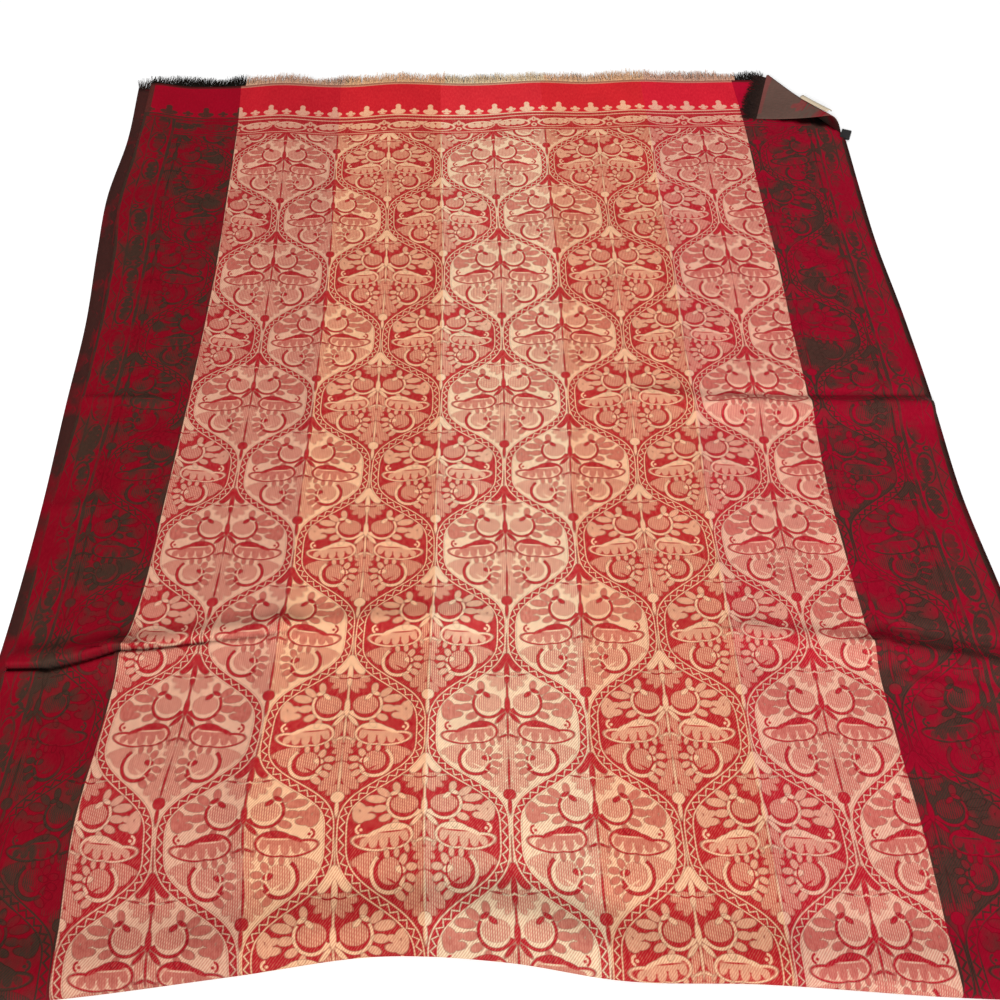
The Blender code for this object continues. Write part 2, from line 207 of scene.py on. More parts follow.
def rowPlaces():
    places = [cloth["farEdge"]]
    while places[-1] > cloth["stretchedFrom"]:
        step = cloth["coarseStep"]
        for low, high in cloth["creaseBands"]:
            if low < places[-1] < high:
                step = cloth["creaseStep"]
        places.append(places[-1] - step)
    middle = float(ridgeLine(0.0))
    near = np.linspace(places[-1], middle, cloth["nearRows"] + 1)[1:]
    return np.concatenate([places, near])


# Where the dark side bands meet the light middle, and how far the pattern's rows slip along the cloth.
Band = namedtuple("Band", "y left right")
bands = [
    Band(0.425, -0.2587, 0.2474),
    Band(0.335, -0.2550, 0.2475),
    Band(0.245, -0.2515, 0.2480),
    Band(0.150, -0.2478, 0.2502),
    Band(0.066, -0.2472, 0.2491),
    Band(-0.025, -0.2477, 0.2497),
    Band(-0.095, -0.2490, 0.2474),
    Band(-0.160, -0.2497, 0.2491),
    Band(-0.225, -0.2554, 0.2510),
    Band(-0.290, -0.2577, 0.2520),
    Band(-0.340, -0.2592, 0.2536),
    Band(-0.430, -0.2510, 0.2511),
]
bandColumns = {"left": -1.0, "right": 8.85, "leftEdge": -2.63, "rightEdge": 10.60}
rowSlips = [(0, 0.013), (1, 0.0093), (2, 0.003), (3, -0.007), (4, -0.005), (5, -0.004),
            (6, -0.002), (7, 0.0), (8, 0.002), (9, 0.001), (10, 0.002)]


def patternColumn(x, y, leftEdge, rightEdge):
    left = smoothThrough([b.y for b in bands], [b.left for b in bands], y)
    right = smoothThrough([b.y for b in bands], [b.right for b in bands], y)
    at = bandColumns
    middle = at["left"] + (x - left) / (right - left) * (at["right"] - at["left"])
    outLeft = at["left"] + (left - x) / (left - leftEdge) * (at["leftEdge"] - at["left"])
    outRight = at["right"] + (x - right) / (rightEdge - right) * (at["rightEdge"] - at["right"])
    return np.where(x < left, outLeft, np.where(x > right, outRight, middle))


# How the weave drifts from its even places across the laid cloth, in columns and in rows.
drifts = {
    "column": (0.0029, -0.0010, 0.0204, 0.0232, 0.0085, -0.0383, 0.0941, -0.1525, -0.0850, 0.0099),
    "row": (-0.0024, 0.0220, -0.0154, 0.0393, 0.0739, -0.1074, -0.1067, 0.0304, 0.0776, -0.0313),
}


nearPull = {"column": (-0.190, -0.320, 0.070, 0.040, 0.11), "row": (-0.050, -0.338, 0.100, 0.042, 0.115)}


def drift(kind, x, y, leftEdge, rightEdge):
    across, along = (x - standsAt.x) / 0.35, np.clip((y - standsAt.y) / 0.45, -0.88, 0.72)
    terms = [1.0, across, along, across ** 2, across * along, along ** 2, across ** 3,
             across ** 2 * along, across * along ** 2, along ** 3]
    inside = np.clip(np.minimum(x - leftEdge, rightEdge - x) / 0.06, 0.0, 1.0)
    inside = inside * np.clip((cloth["farEdge"] - y) / 0.07, 0.0, 1.0)
    amount = sum(share * term for share, term in zip(drifts[kind], terms))
    # Beside the near fold the cloth is pulled further.
    atX, atY, spreadX, spreadY, most = nearPull[kind]
    reach = ((x - atX) / spreadX) ** 2 + ((y - atY) / spreadY) ** 2
    return (amount + most * np.exp(-reach)) * inside


def patternRow(y):
    rows = np.array([row for row, slip in rowSlips], float)
    at = (4.4 - rows) * cloth["rowPitch"] + np.array([slip for row, slip in rowSlips])
    rows = np.concatenate([[-2.0], rows, [12.0]])
    at = np.concatenate([[at[0] + 2 * cloth["rowPitch"]], at, [at[-1] - 2 * cloth["rowPitch"]]])
    return np.interp(y, at[::-1], rows[::-1])


farRow = float(patternRow(cloth["farEdge"]))


def gridObject(name, points, pattern, shade=None):
    # points and pattern are grids of [column, row]; the faces look up where the rows run to -Y.
    columns, rows = points.shape[:2]
    mesh = bpy.data.meshes.new(name)
    index = np.arange(columns * rows).reshape(columns, rows)
    a, b, c, d = index[:-1, :-1], index[:-1, 1:], index[1:, 1:], index[1:, :-1]
    faces = np.stack([a, b, c, d], -1).reshape(-1, 4)
    places = points.reshape(-1, 3) + np.array(standsAt)
    mesh.from_pydata(places.tolist(), [], faces.tolist())
    layer = mesh.uv_layers.new(name="pattern")
    layer.data.foreach_set("uv", pattern.reshape(-1, 2)[faces.reshape(-1)].astype(np.float32).ravel())
    # The shade attribute holds painted shade, by which the cloth material darkens its colour.
    if shade is not None:
        paintedShade = mesh.attributes.new("shade", "FLOAT", "POINT")
        paintedShade.data.foreach_set("value", shade.astype(np.float32).ravel())
    mesh.shade_smooth()
    made = bpy.data.objects.new(name, mesh)
    bpy.context.scene.collection.objects.link(made)
    return made


def giveThickness(obj, thickness):
    wall = obj.modifiers.new("cloth thickness", "SOLIDIFY")
    wall.thickness = thickness
    wall.offset = -1.0
    wall.use_even_offset = False
    return wall


def cutAtCorner(obj, past):
    # Cuts the cloth along the corner's fold line, and keeps what lies inside it.
    _, _, inward = cornerFrame()
    body = bmesh.new()
    body.from_mesh(obj.data)
    bmesh.ops.bisect_plane(
        body,
        geom=body.verts[:] + body.edges[:] + body.faces[:],
        plane_co=cornerFold["far"] + standsAt + inward * past,
        plane_no=-inward,
        clear_outer=True,
    )
    body.to_mesh(obj.data)
    body.free()
    obj.data.shade_smooth()


def cornerFrame():
    along = cornerFold["side"] - cornerFold["far"]
    length = along.length
    along.normalize()
    return length, along, Vector((along.y, -along.x, 0.0))


# the pattern's own arithmetic, as shader nodes


class Wire:
    # A value that changes over the surface. Arithmetic on it adds Math nodes to its tree.
    def __init__(self, tree, socket):
        self.tree = tree
        self.socket = socket

    def math(self, operation, *others, clamp=False):
        node = self.tree.nodes.new("ShaderNodeMath")
        node.operation = operation
        node.use_clamp = clamp
        for slot, value in zip(node.inputs, (self,) + others):
            feed(self.tree, slot, value)
        return Wire(self.tree, node.outputs[0])

    def vector(self, operation, *others, out="Vector"):
        node = self.tree.nodes.new("ShaderNodeVectorMath")
        node.operation = operation
        for slot, value in zip(node.inputs, (self,) + others):
            feed(self.tree, slot, value)
        return Wire(self.tree, node.outputs[out])

    def __add__(self, other):
        return self.math("ADD", other)

    def __sub__(self, other):
        return self.math("SUBTRACT", other)

    def __rsub__(self, other):
        return (self * -1.0) + other

    def __mul__(self, other):
        return self.math("MULTIPLY", other)

    def __truediv__(self, other):
        return self.math("DIVIDE", other)

    def size(self):
        return self.math("ABSOLUTE")

    def parts(self):
        node = self.tree.nodes.new("ShaderNodeSeparateXYZ")
        self.tree.links.new(self.socket, node.inputs[0])
        return [Wire(self.tree, out) for out in node.outputs]


def feed(tree, slot, value):
    if isinstance(value, Wire):
        tree.links.new(value.socket, slot)
    else:
        slot.default_value = value


def joined(x, y, z=0.0):
    node = x.tree.nodes.new("ShaderNodeCombineXYZ")
    for slot, value in zip(node.inputs, (x, y, z)):
        feed(x.tree, slot, value)
    return Wire(x.tree, node.outputs[0])


def blended(share, first, second):
    # first where share is 0, second where it is 1
    node = share.tree.nodes.new("ShaderNodeMix")
    node.data_type = "FLOAT"
    feed(share.tree, node.inputs["Factor"], share)
    feed(share.tree, node.inputs["A"], first)
    feed(share.tree, node.inputs["B"], second)
    return Wire(share.tree, node.outputs["Result"])


def blendedColour(share, first, second):
    node = share.tree.nodes.new("ShaderNodeMix")
    node.data_type = "RGBA"
    feed(share.tree, node.inputs[0], share)
    feed(share.tree, node.inputs[6], first)
    feed(share.tree, node.inputs[7], second)
    return Wire(share.tree, node.outputs[2])


def dimmed(colour, share):
    node = share.tree.nodes.new("ShaderNodeVectorMath")
    node.operation = "SCALE"
    feed(share.tree, node.inputs[0], colour)
    feed(share.tree, node.inputs["Scale"], share)
    return Wire(share.tree, node.outputs[0])


def covered(distance, soft=0.45):
    # 1 inside a shape, 0 outside, from the distance to its edge in millimetres
    node = distance.tree.nodes.new("ShaderNodeMapRange")
    node.interpolation_type = "SMOOTHSTEP"
    feed(distance.tree, node.inputs["Value"], distance)
    node.inputs["From Min"].default_value = soft
    node.inputs["From Max"].default_value = -soft
    return Wire(distance.tree, node.outputs["Result"])


def between(value, low, high, soft=0.45):
    middle, half = (low + high) / 2, (high - low) / 2
    return covered((value - middle).size() - half, soft)


def nearest(distances):
    # Each shape is compared as soon as it is made, so few values are held at once.
    least = next(distances)
    for distance in distances:
        least = least.math("MINIMUM", distance)
    return least


def newGroup(name, inputs, outputs):
    tree = bpy.data.node_groups.new(name, "ShaderNodeTree")
    for label, kind, value in inputs:
        made = tree.interface.new_socket(label, in_out="INPUT", socket_type=kind)
        made.default_value = value
    for label, kind in outputs:
        tree.interface.new_socket(label, in_out="OUTPUT", socket_type=kind)
    entry = tree.nodes.new("NodeGroupInput")
    leave = tree.nodes.new("NodeGroupOutput")
    wires = {label: Wire(tree, entry.outputs[label]) for label, _, _ in inputs}
    return tree, wires, leave


def placeGroup(tree, group, **values):
    # Puts a group in a tree. Words joined by _ in a value's name are its socket's words.
    node = tree.nodes.new("ShaderNodeGroup")
    node.node_tree = group
    for name, value in values.items():
        feed(tree, node.inputs[name.replace("_", " ")], value)
    return {out.name: Wire(tree, out) for out in node.outputs}


# the ogee lattice: millimetres, x out from an ogee's middle line, y down from the ball above it

Oval = namedtuple("Oval", "x y half width turn")
Bow = namedtuple("Bow", "x y radius width gap gapFrom")

ogee = {
    "yMiddle": 97.0,
    "neck": 0.345,  # rows from the ball to the narrow neck
    "middle": 0.50,
    "swing": 0.43,
    "bandHalf": 3.1,
    "stripHalf": 2.25,
    "zigzagReach": 1.45,
    "zigzagHalf": 0.42,
    "zigzagCount": 14,  # in one side of an ogee, from neck to neck across
    "hatchPitch": 1.35,
    "hatched": [
        Oval(7.3, 56.6, 6.4, 2.9, 12), Oval(6.0, 60.4, 5.8, 2.6, 30), Oval(3.2, 62.6, 5.2, 2.4, 56),
        Oval(11.7, 75.1, 8.2, 6.3, 0),
        Oval(34.2, 107.2, 8.6, 3.0, 16), Oval(34.4, 111.2, 6.4, 4.0, 128),
        Oval(3.6, 90.6, 5.6, 2.5, 84), Oval(5.2, 95.4, 4.4, 2.1, 58), Oval(2.6, 99.6, 3.4, 2.3, 70),
        Oval(3.4, 103.0, 3.8, 1.8, -10), Oval(3.0, 106.4, 3.8, 1.9, 22), Oval(1.4, 110.0, 4.2, 2.3, 64),
        Oval(20.0, 113.8, 6.9, 6.9, 0), Oval(2.4, 117.4, 4.0, 2.4, 52), Oval(4.6, 124.4, 7.2, 3.4, 56),
        Oval(6.8, 128.8, 6.2, 3.6, 42), Oval(3.4, 133.4, 4.6, 2.5, 46),
    ],
    "petals": [
        Oval(16.9, 63.4, 3.6, 2.4, 100), Oval(24.4, 66.8, 4.7, 2.5, 143), Oval(28.8, 71.2, 6.3, 2.8, 172),
        Oval(26.4, 77.9, 4.8, 2.6, 6), Oval(22.9, 84.0, 4.0, 2.4, 22), Oval(17.2, 88.0, 3.4, 2.0, 62),
        Oval(37.6, 75.6, 4.4, 2.3, 142), Oval(39.9, 80.6, 5.4, 2.3, 96), Oval(33.6, 78.2, 4.2, 2.2, 14),
        Oval(33.0, 83.0, 4.6, 2.4, 8), Oval(36.4, 82.6, 4.6, 3.2, 60),
        Oval(12.1, 108.2, 3.2, 2.2, 62), Oval(7.4, 112.0, 3.4, 2.1, 2), Oval(7.6, 117.4, 3.2, 2.0, 154),
        Oval(9.4, 122.2, 3.4, 2.2, 150), Oval(13.8, 126.2, 3.8, 2.3, 140),
        Oval(21.6, 105.0, 2.7, 1.7, 96), Oval(15.9, 104.6, 2.7, 1.7, 88), Oval(10.0, 102.2, 2.7, 1.6, 105),
        Oval(5.8, 100.0, 2.0, 1.3, 110),
    ],
    "solid": [
        Oval(5.0, 47.4, 7.2, 3.5, 58), Oval(1.0, 43.4, 4.4, 2.2, 76), Oval(0.0, 34.5, 9.5, 0.55, 90),
        Oval(9.0, 55.6, 4.6, 0.6, -10), Oval(0.0, 54.0, 9.0, 1.9, 90), Oval(0.0, 68.0, 9.0, 0.8, 90),
        Oval(0.0, 77.0, 6.5, 1.9, 90), Bow(12.1, 75.4, 9.7, 0.95, -118, 1.0), Oval(3.6, 81.4, 3.8, 1.2, 38),
        Oval(13.4, 69.6, 3.0, 1.6, 142), Oval(17.8, 67.4, 3.0, 1.5, 24),
        Oval(4.4, 85.6, 5.4, 1.5, 48), Oval(0.0, 91.0, 9.4, 0.9, 90), Oval(2.8, 98.0, 3.0, 0.8, 20),
        Oval(17.5, 95.2, 11.4, 7.7, 6), Oval(25.5, 96.3, 10.6, 5.7, 18), Oval(31.0, 98.6, 11.6, 4.7, -10),
        Bow(20.3, 114.4, 10.2, 1.1, -132, 1.5), Oval(13.6, 113.2, 3.2, 1.9, 168), Oval(13.0, 119.6, 3.6, 1.2, 60),
        Oval(0.0, 124.5, 12.5, 0.9, 90), Oval(0.0, 138.4, 4.0, 3.8, 0), Oval(0.0, 146.0, 6.0, 1.3, 90),
    ],
    "paisleyInner": [
        Oval(17.8, 95.6, 10.0, 6.3, 6), Oval(25.6, 96.6, 9.2, 4.3, 18), Oval(30.8, 98.8, 10.2, 3.3, -10),
    ],
    "scallops": [
        Oval(19.4, 93.6, 9.6, 2.6, 4), Oval(29.0, 96.0, 7.4, 2.2, 14), Oval(35.0, 98.4, 2.8, 2.2, 60),
        Oval(29.4, 98.6, 3.2, 2.5, 76), Oval(23.4, 98.2, 4.0, 2.6, 84), Oval(17.2, 97.6, 4.2, 2.6, 94),
        Oval(11.6, 95.2, 3.4, 2.4, 112),
    ],
    "lens": [Oval(18.4, 90.3, 8.6, 2.0, 4), Oval(27.0, 92.6, 5.4, 0.9, 26)],
    "curlGround": [Oval(37.0, 90.2, 3.4, 3.2, 0)],
    "curl": [Oval(36.7, 90.9, 1.0, 0.9, 0), Bow(37.0, 90.6, 2.5, 0.7, 176, -0.4)],
    "lines": [
        Oval(18.6, 92.7, 6.6, 0.5, 4), Bow(3.6, 50.2, 6.6, 0.5, -40, -1.0), Oval(17.4, 119.6, 5.0, 0.6, 150),
        Bow(20.4, 114.2, 7.6, 0.5, -70, 2.0),
    ],
}


def placeTerms(x, y):
    # The two vectors from which every oval's equation is read: (x, y, 1) and (xx, xy, yy).
    down = y - ogee["yMiddle"]
    return joined(x, down, 1.0), joined(x * x, x * down, down * down)


def ovalTerms(shape, scale, less):
    # The oval is where A xx + B xy + C yy + D x + E y + F is 1.
    cosine, sine = math.cos(math.radians(shape.turn)), math.sin(math.radians(shape.turn))
    long, short = scale / shape.half**2, scale / shape.width**2
    a = cosine**2 * long + sine**2 * short
    b = 2 * cosine * sine * (long - short)
    c = sine**2 * long + cosine**2 * short
    x, y = shape.x, shape.y - ogee["yMiddle"]
    linear = (-2 * a * x - b * y, -2 * c * y - b * x, a * x * x + b * x * y + c * y * y - less)
    return linear, (a, b, c)


def shapeDistance(terms, shape):
    # Roughly how far a place lies outside a shape's edge, in millimetres.
    if isinstance(shape, Bow):
        first, second = ovalTerms(Oval(shape.x, shape.y, 1.0, 1.0, 0.0), 1.0, 0.0)
    else:
        first, second = ovalTerms(shape, shape.width / 2, shape.width / 2)
    total = terms[0].vector("DOT_PRODUCT", first, out="Value")
    total += terms[1].vector("DOT_PRODUCT", second, out="Value")
    if isinstance(shape, Oval):
        return total
    away = (total.math("SQRT") - shape.radius).size() - shape.width
    cosine, sine = math.cos(math.radians(shape.gap)), math.sin(math.radians(shape.gap))
    fromGap = -(shape.x * cosine + (shape.y - ogee["yMiddle"]) * sine) - shape.gapFrom
    pastGap = terms[0].vector("DOT_PRODUCT", (cosine, sine, fromGap), out="Value")
    return away.math("MAXIMUM", pastGap)


def after(value, earlier):
    # The renderer works out everything that is ready at once, and holds few values. A hair of an
    # earlier value, far too small to see, makes this one wait for it.
    return value + earlier * 1e-6


def shapesCover(terms, shapes, soft=0.45):
    return covered(nearest(shapeDistance(terms, shape) for shape in shapes), soft)


def buildOgeeField():
    columnMm, rowMm = 1000 * cloth["columnPitch"], 1000 * cloth["rowPitch"]
    group, given, leave = newGroup(
        "ogee lattice",
        [("Column", "NodeSocketFloat", 0.0), ("Row", "NodeSocketFloat", 0.0)],
        [("Light", "NodeSocketFloat"), ("Outline", "NodeSocketFloat")],
    )
    column, row = given["Column"], given["Row"]
    nearestColumn = column.math("ROUND")
    offset = column - nearestColumn
    away = offset.size()
    down = (row + nearestColumn + 1.0).math("WRAP", ogee["neck"] + 2.0, ogee["neck"])
    angle = (down - ogee["neck"]) * math.pi
    turned = angle.math("COSINE")
    bulge = turned * 1.5 - turned * turned * turned * 0.5
    halfWidth = (bulge * -ogee["swing"]) + ogee["middle"]

    # The band between two ogees: how far from its middle, and how far along it.
    slope = angle.math("SINE").math("POWER", 3.0) * (ogee["swing"] * 1.5 * math.pi * columnMm / rowMm)
    length = (slope * slope + 1.0).math("SQRT")
    across = (away - halfWidth) * columnMm / length
    stretch = 0.75 * rowMm / math.pi
    along = down * rowMm + (angle * 0.375 - (angle * 2.0).math("SINE") * 0.25) * stretch
    period = (rowMm + stretch * 0.375 * math.pi) / ogee["zigzagCount"]
    along = along + across * slope  # where the nearest place on the band's middle lies
    wave = (along.math("PINGPONG", period / 2) - period / 4) * (4 * ogee["zigzagReach"] / period)
    odd = nearestColumn.math("FLOORED_MODULO", 2.0)
    flip = 1.0 - odd * 2.0
    zigzag = covered((across * flip - wave).size() * 0.75 - ogee["zigzagHalf"], 0.4)
    inBand = covered(across.size() - ogee["bandHalf"], 0.4)
    inStrip = covered(across.size() - ogee["stripHalf"], 0.4)
    bandLight = blended(inStrip, 1.0, zigzag)

    # Fold the neighbour's share of this cell onto the same half ogee.
    inside = (away - halfWidth).math("LESS_THAN", 0.0)
    x = blended(inside, 1.0 - away, away) * columnMm
    y = blended(inside, (down + 1.0).math("WRAP", ogee["neck"] + 2.0, ogee["neck"]), down) * rowMm
    step = offset.math("SIGN")
    ownColumn = blended(inside, nearestColumn + step, nearestColumn)
    lightGround = ownColumn.math("FLOORED_MODULO", 4.0).math("LESS_THAN", 1.5)

    hatch = (x * (2 * math.pi / ogee["hatchPitch"])).math("SINE") * 0.26 + 0.46
    hatched = shapesCover(placeTerms(x, y), ogee["hatched"])
    petals = shapesCover(placeTerms(after(x, hatched), y), ogee["petals"])
    solid = shapesCover(placeTerms(after(x, petals), y), ogee["solid"])
    place = placeTerms(after(x, solid), y)
    inner = shapesCover(place, ogee["paisleyInner"])
    scallops = shapesCover(place, ogee["scallops"])
    lens = shapesCover(place, ogee["lens"])
    lines = shapesCover(place, ogee["lines"], 0.35)
    tone = blended(petals, hatched * hatch, hatch * 0.16 + 0.62)
    tone = blended(solid, tone, 1.0)
    within = blended(scallops, 0.06, hatch * 0.24 + 0.54)
    within = blended(lens, within, 1.0)
    tone = blended(inner, tone, within)
    tone = blended(shapesCover(place, ogee["curlGround"]), tone, 0.0)
    tone = blended(shapesCover(place, ogee["curl"]), tone, 1.0)
    tone = blended(lines, tone, 0.0)
    motif = blended(lightGround, tone, 1.0 - tone)
    light = blended(inBand, motif, bandLight)

    edges = [petals, solid, zigzag * inStrip, inBand]
    outline = hatched * (1.0 - hatched) * 2.0
    for edge in edges:
        outline = outline.math("MAXIMUM", edge * (1.0 - edge) * 4.0)
    feed(group, leave.inputs["Light"], light)
    feed(group, leave.inputs["Outline"], outline)
    return group


# the borders

vine = {
    "leaf": [Oval(19.5, 9.6, 16.0, 6.6, -4)],
    "leafInner": [Oval(20.0, 9.9, 14.4, 5.2, -4)],
    "leafBody": [Oval(13.0, 9.0, 4.2, 3.4, 20), Oval(19.5, 8.4, 4.2, 3.6, 80), Oval(26.0, 8.6, 4.2, 3.0, 100),
                 Oval(31.0, 8.0, 3.2, 2.4, 120)],
    "buds": [Oval(0.0, 4.6, 3.6, 2.2, 90), Oval(3.8, 5.6, 3.2, 1.6, 40), Oval(36.4, 5.0, 2.6, 2.0, 90),
             Oval(33.6, 3.6, 2.4, 1.3, 20), Oval(0.0, 13.4, 2.8, 2.8, 0)],
    "dots": [Oval(0.0, 13.4, 1.3, 1.3, 0), Oval(0.0, 4.6, 1.8, 0.6, 90)],
}


def buildVineBand():
    group, given, leave = newGroup(
        "vine band",
        [("Along", "NodeSocketFloat", 0.0), ("Across", "NodeSocketFloat", 0.0),
         ("Period", "NodeSocketFloat", 74.0)],
        [("Light", "NodeSocketFloat")],
    )
    half = given["Period"] * 0.5
    along = given["Along"].math("PINGPONG", half) * (37.0 * 2) / given["Period"]
    place = placeTerms(along, given["Across"])
    leaf = shapesCover(place, vine["leaf"])
    inner = shapesCover(place, vine["leafInner"])
    body = shapesCover(place, vine["leafBody"])
    buds = shapesCover(place, vine["buds"])
    dots = shapesCover(place, vine["dots"])
    light = blended(buds, 0.0, 0.8)
    light = blended(leaf, light, 1.0)
    light = blended(inner, light, body * 0.8)
    light = blended(dots, light, 0.0)
    feed(group, leave.inputs["Light"], light)
    return group


border = {
    "ends": {"tape": 3.5, "red": 48.5, "lineOne": 50.0, "lineTwo": 54.5, "vine": 55.5, "vineEnd": 72.0,
             "lastLine": 73.5, "field": 76.5},
    "crownPeriod": 0.63, "crownAt": 1.54,
    "crown": [Oval(0.0, 36.6, 3.2, 2.7, 90), Oval(0.0, 42.0, 5.0, 3.0, 90), Oval(4.6, 43.6, 2.8, 2.3, 20),
              Oval(0.0, 46.6, 5.6, 1.6, 0)],
    "bud": [Oval(16.2, 42.6, 3.2, 2.2, 90), Oval(13.0, 43.4, 1.7, 1.5, 0), Oval(16.2, 46.4, 3.0, 1.1, 0)],
    "ringPeriod": 1.45, "ringAt": 0.45,
    "side": {"selvedge": 2.0, "red": 9.0, "vine": 10.0, "vineEnd": 24.0, "line": 26.5},
    "sideZigzag": 17.5,
}


def buildBorders(vineGroup):
    columnMm, rowMm = 1000 * cloth["columnPitch"], 1000 * cloth["rowPitch"]
    group, given, leave = newGroup(
        "woven borders",
        [("Column", "NodeSocketFloat", 0.0), ("Row", "NodeSocketFloat", 0.0),
         ("Field light", "NodeSocketFloat", 0.0), ("Field outline", "NodeSocketFloat", 0.0)],
        [("Light", "NodeSocketFloat"), ("Outline", "NodeSocketFloat"), ("Plain red", "NodeSocketFloat"),
         ("Selvedge", "NodeSocketFloat")],
    )
    column, row = given["Column"], after(given["Row"], given["Field light"])
    ends = border["ends"]
    fromEnd = (row - farRow) * rowMm

    # Crowns along the end's plain band.
    period = border["crownPeriod"] * columnMm
    x = ((column - border["crownAt"]) * columnMm).math("WRAP", period / 2, -period / 2).size()
    place = placeTerms(x, fromEnd)
    crowns = shapesCover(place, border["crown"] + border["bud"])
    endLight = blended(between(fromEnd, -10.0, ends["tape"]), crowns * 0.92, 0.62)
    endLight = endLight.math("MAXIMUM", between(fromEnd, ends["red"], ends["lineOne"]))
    endLight = endLight.math("MAXIMUM", between(fromEnd, ends["lineTwo"] - 1.0, ends["lineTwo"]))
    endLight = endLight.math("MAXIMUM", between(fromEnd, ends["lastLine"], ends["lastLine"] + 1.0) * 0.8)
    # The side border, measured in from the nearer selvedge.
    at = bandColumns
    middle, half = (at["leftEdge"] + at["rightEdge"]) / 2, (at["rightEdge"] - at["leftEdge"]) / 2
    fromSide = (half - (column - middle).size()) * columnMm
    side = border["side"]
    zigzag = (row * rowMm).math("PINGPONG", border["sideZigzag"] / 2) * 0.55 + (side["selvedge"] + 0.8)
    zigzagLine = covered((fromSide - zigzag).size() - 0.4)
    sideLight = covered(fromSide - side["selvedge"]).math("MAXIMUM", zigzagLine * 0.75)
    inSide = covered(fromSide - side["line"])
    inSideOnly = inSide * covered((fromEnd - ends["lineTwo"]) * -1.0)
    # One vine serves both borders, turned by a right angle at the sides.
    vineLight = placeGroup(
        group, vineGroup,
        Along=blended(inSideOnly, (column - border["ringAt"]) * columnMm, (row - 0.12) * rowMm),
        Across=blended(inSideOnly, fromEnd - ends["vine"], fromSide * -1.0 + (side["vineEnd"] + 1.5)),
        Period=blended(inSideOnly, border["ringPeriod"] * columnMm, rowMm),
    )["Light"]
    endLight = blended(between(fromEnd, ends["vine"], ends["vineEnd"]), endLight, vineLight)
    sideLight = blended(between(fromSide, side["vine"], side["vineEnd"]), sideLight, vineLight)
    sideLight = sideLight.math("MAXIMUM", between(fromSide, side["red"], side["vine"]) * 0.7)
    sideLight = sideLight.math("MAXIMUM", between(fromSide, side["vineEnd"], side["line"]))

    endLight = endLight.math("MAXIMUM", covered(fromSide - 4.5) * 0.85)
    inEnd = covered(fromEnd - ends["field"])
    light = blended(inEnd, given["Field light"], endLight)
    light = blended(inSideOnly, light, sideLight)
    outline = given["Field outline"] * (1.0 - inEnd) * (1.0 - inSide)
    feed(group, leave.inputs["Light"], light)
    feed(group, leave.inputs["Outline"], outline)
    feed(group, leave.inputs["Selvedge"], covered(fromSide - 6.0))
    feed(group, leave.inputs["Plain red"], inEnd * covered(fromEnd - ends["red"]))
    return group


def rgb(red, green, blue):
    # An sRGB colour out of 255, as linear light.
    def linear(value):
        value /= 255
        return value / 12.92 if value <= 0.04045 else ((value + 0.055) / 1.055) ** 2.4
    return (linear(red), linear(green), linear(blue), 1.0)


# Warp colours from the left selvedge to the right one: from which column, warp, and the weft over it.
WarpStripe = namedtuple("WarpStripe", "start warp weft")
warpStripes = [
    WarpStripe(-9.0, rgb(58, 47, 37), rgb(166, 4, 34)),
    WarpStripe(-1.0, rgb(230, 182, 152), rgb(196, 24, 40)),
    WarpStripe(1.0, rgb(254, 204, 158), rgb(208, 30, 42)),
    WarpStripe(3.0, rgb(255, 228, 188), rgb(222, 40, 52)),
    WarpStripe(5.0, rgb(254, 206, 162), rgb(216, 34, 44)),
    WarpStripe(7.0, rgb(244, 194, 166), rgb(218, 28, 50)),
    WarpStripe(8.85, rgb(66, 50, 42), rgb(194, 8, 48)),
]


def buildWarpColours():
    group, given, leave = newGroup(
        "warp colours",
        [("Column", "NodeSocketFloat", 0.0)],
        [("Warp", "NodeSocketColor"), ("Weft", "NodeSocketColor"), ("Middle", "NodeSocketFloat")],
    )
    column = given["Column"]
    warp, weft = warpStripes[0].warp, warpStripes[0].weft
    for stripe in warpStripes[1:]:
        past = ((column - stripe.start) * 1000 * cloth["columnPitch"] * 2.5).math("ADD", 0.5, clamp=True)
        warp = blendedColour(past, warp, stripe.warp)
        weft = blendedColour(past, weft, stripe.weft)
    half = (bandColumns["right"] - bandColumns["left"]) / 2
    fromMiddle = (column - bandColumns["left"] - half).size()
    feed(group, leave.inputs["Middle"], covered((fromMiddle - half) * 1000 * cloth["columnPitch"]))
    feed(group, leave.inputs["Warp"], warp)
    feed(group, leave.inputs["Weft"], weft)
    return group


weave = {"pitch": 1.7, "slant": 0.8, "relief": 0.00012}


def buildWeave():
    # Fine twill: lines that run up to the right, and threads that vary.
    group, given, leave = newGroup(
        "twill",
        [("Column", "NodeSocketFloat", 0.0), ("Row", "NodeSocketFloat", 0.0), ("Pitch", "NodeSocketFloat", 1.7)],
        [("Thread", "NodeSocketFloat"), ("Cloud", "NodeSocketFloat"), ("Slub", "NodeSocketFloat")],
    )
    x = given["Column"] * (1000 * cloth["columnPitch"])
    y = given["Row"] * (1000 * cloth["rowPitch"])
    line = (x + y * weave["slant"]) / given["Pitch"]
    thread = (line * (2 * math.pi)).math("SINE") * 0.5 + 0.5

    def noise(scale, detail, stretch):
        node = group.nodes.new("ShaderNodeTexNoise")
        node.inputs["Scale"].default_value = scale
        node.inputs["Detail"].default_value = detail
        feed(group, node.inputs["Vector"], joined(x * stretch[0], y * stretch[1]))
        return Wire(group, node.outputs[0])

    feed(group, leave.inputs["Thread"], thread * 0.55 + noise(0.7, 1.0, (1.0, 0.7)) * 0.45)
    feed(group, leave.inputs["Cloud"], noise(0.035, 4.0, (1.0, 0.7)))
    feed(group, leave.inputs["Slub"], noise(1.0, 2.0, (0.6, 0.25)))
    return group


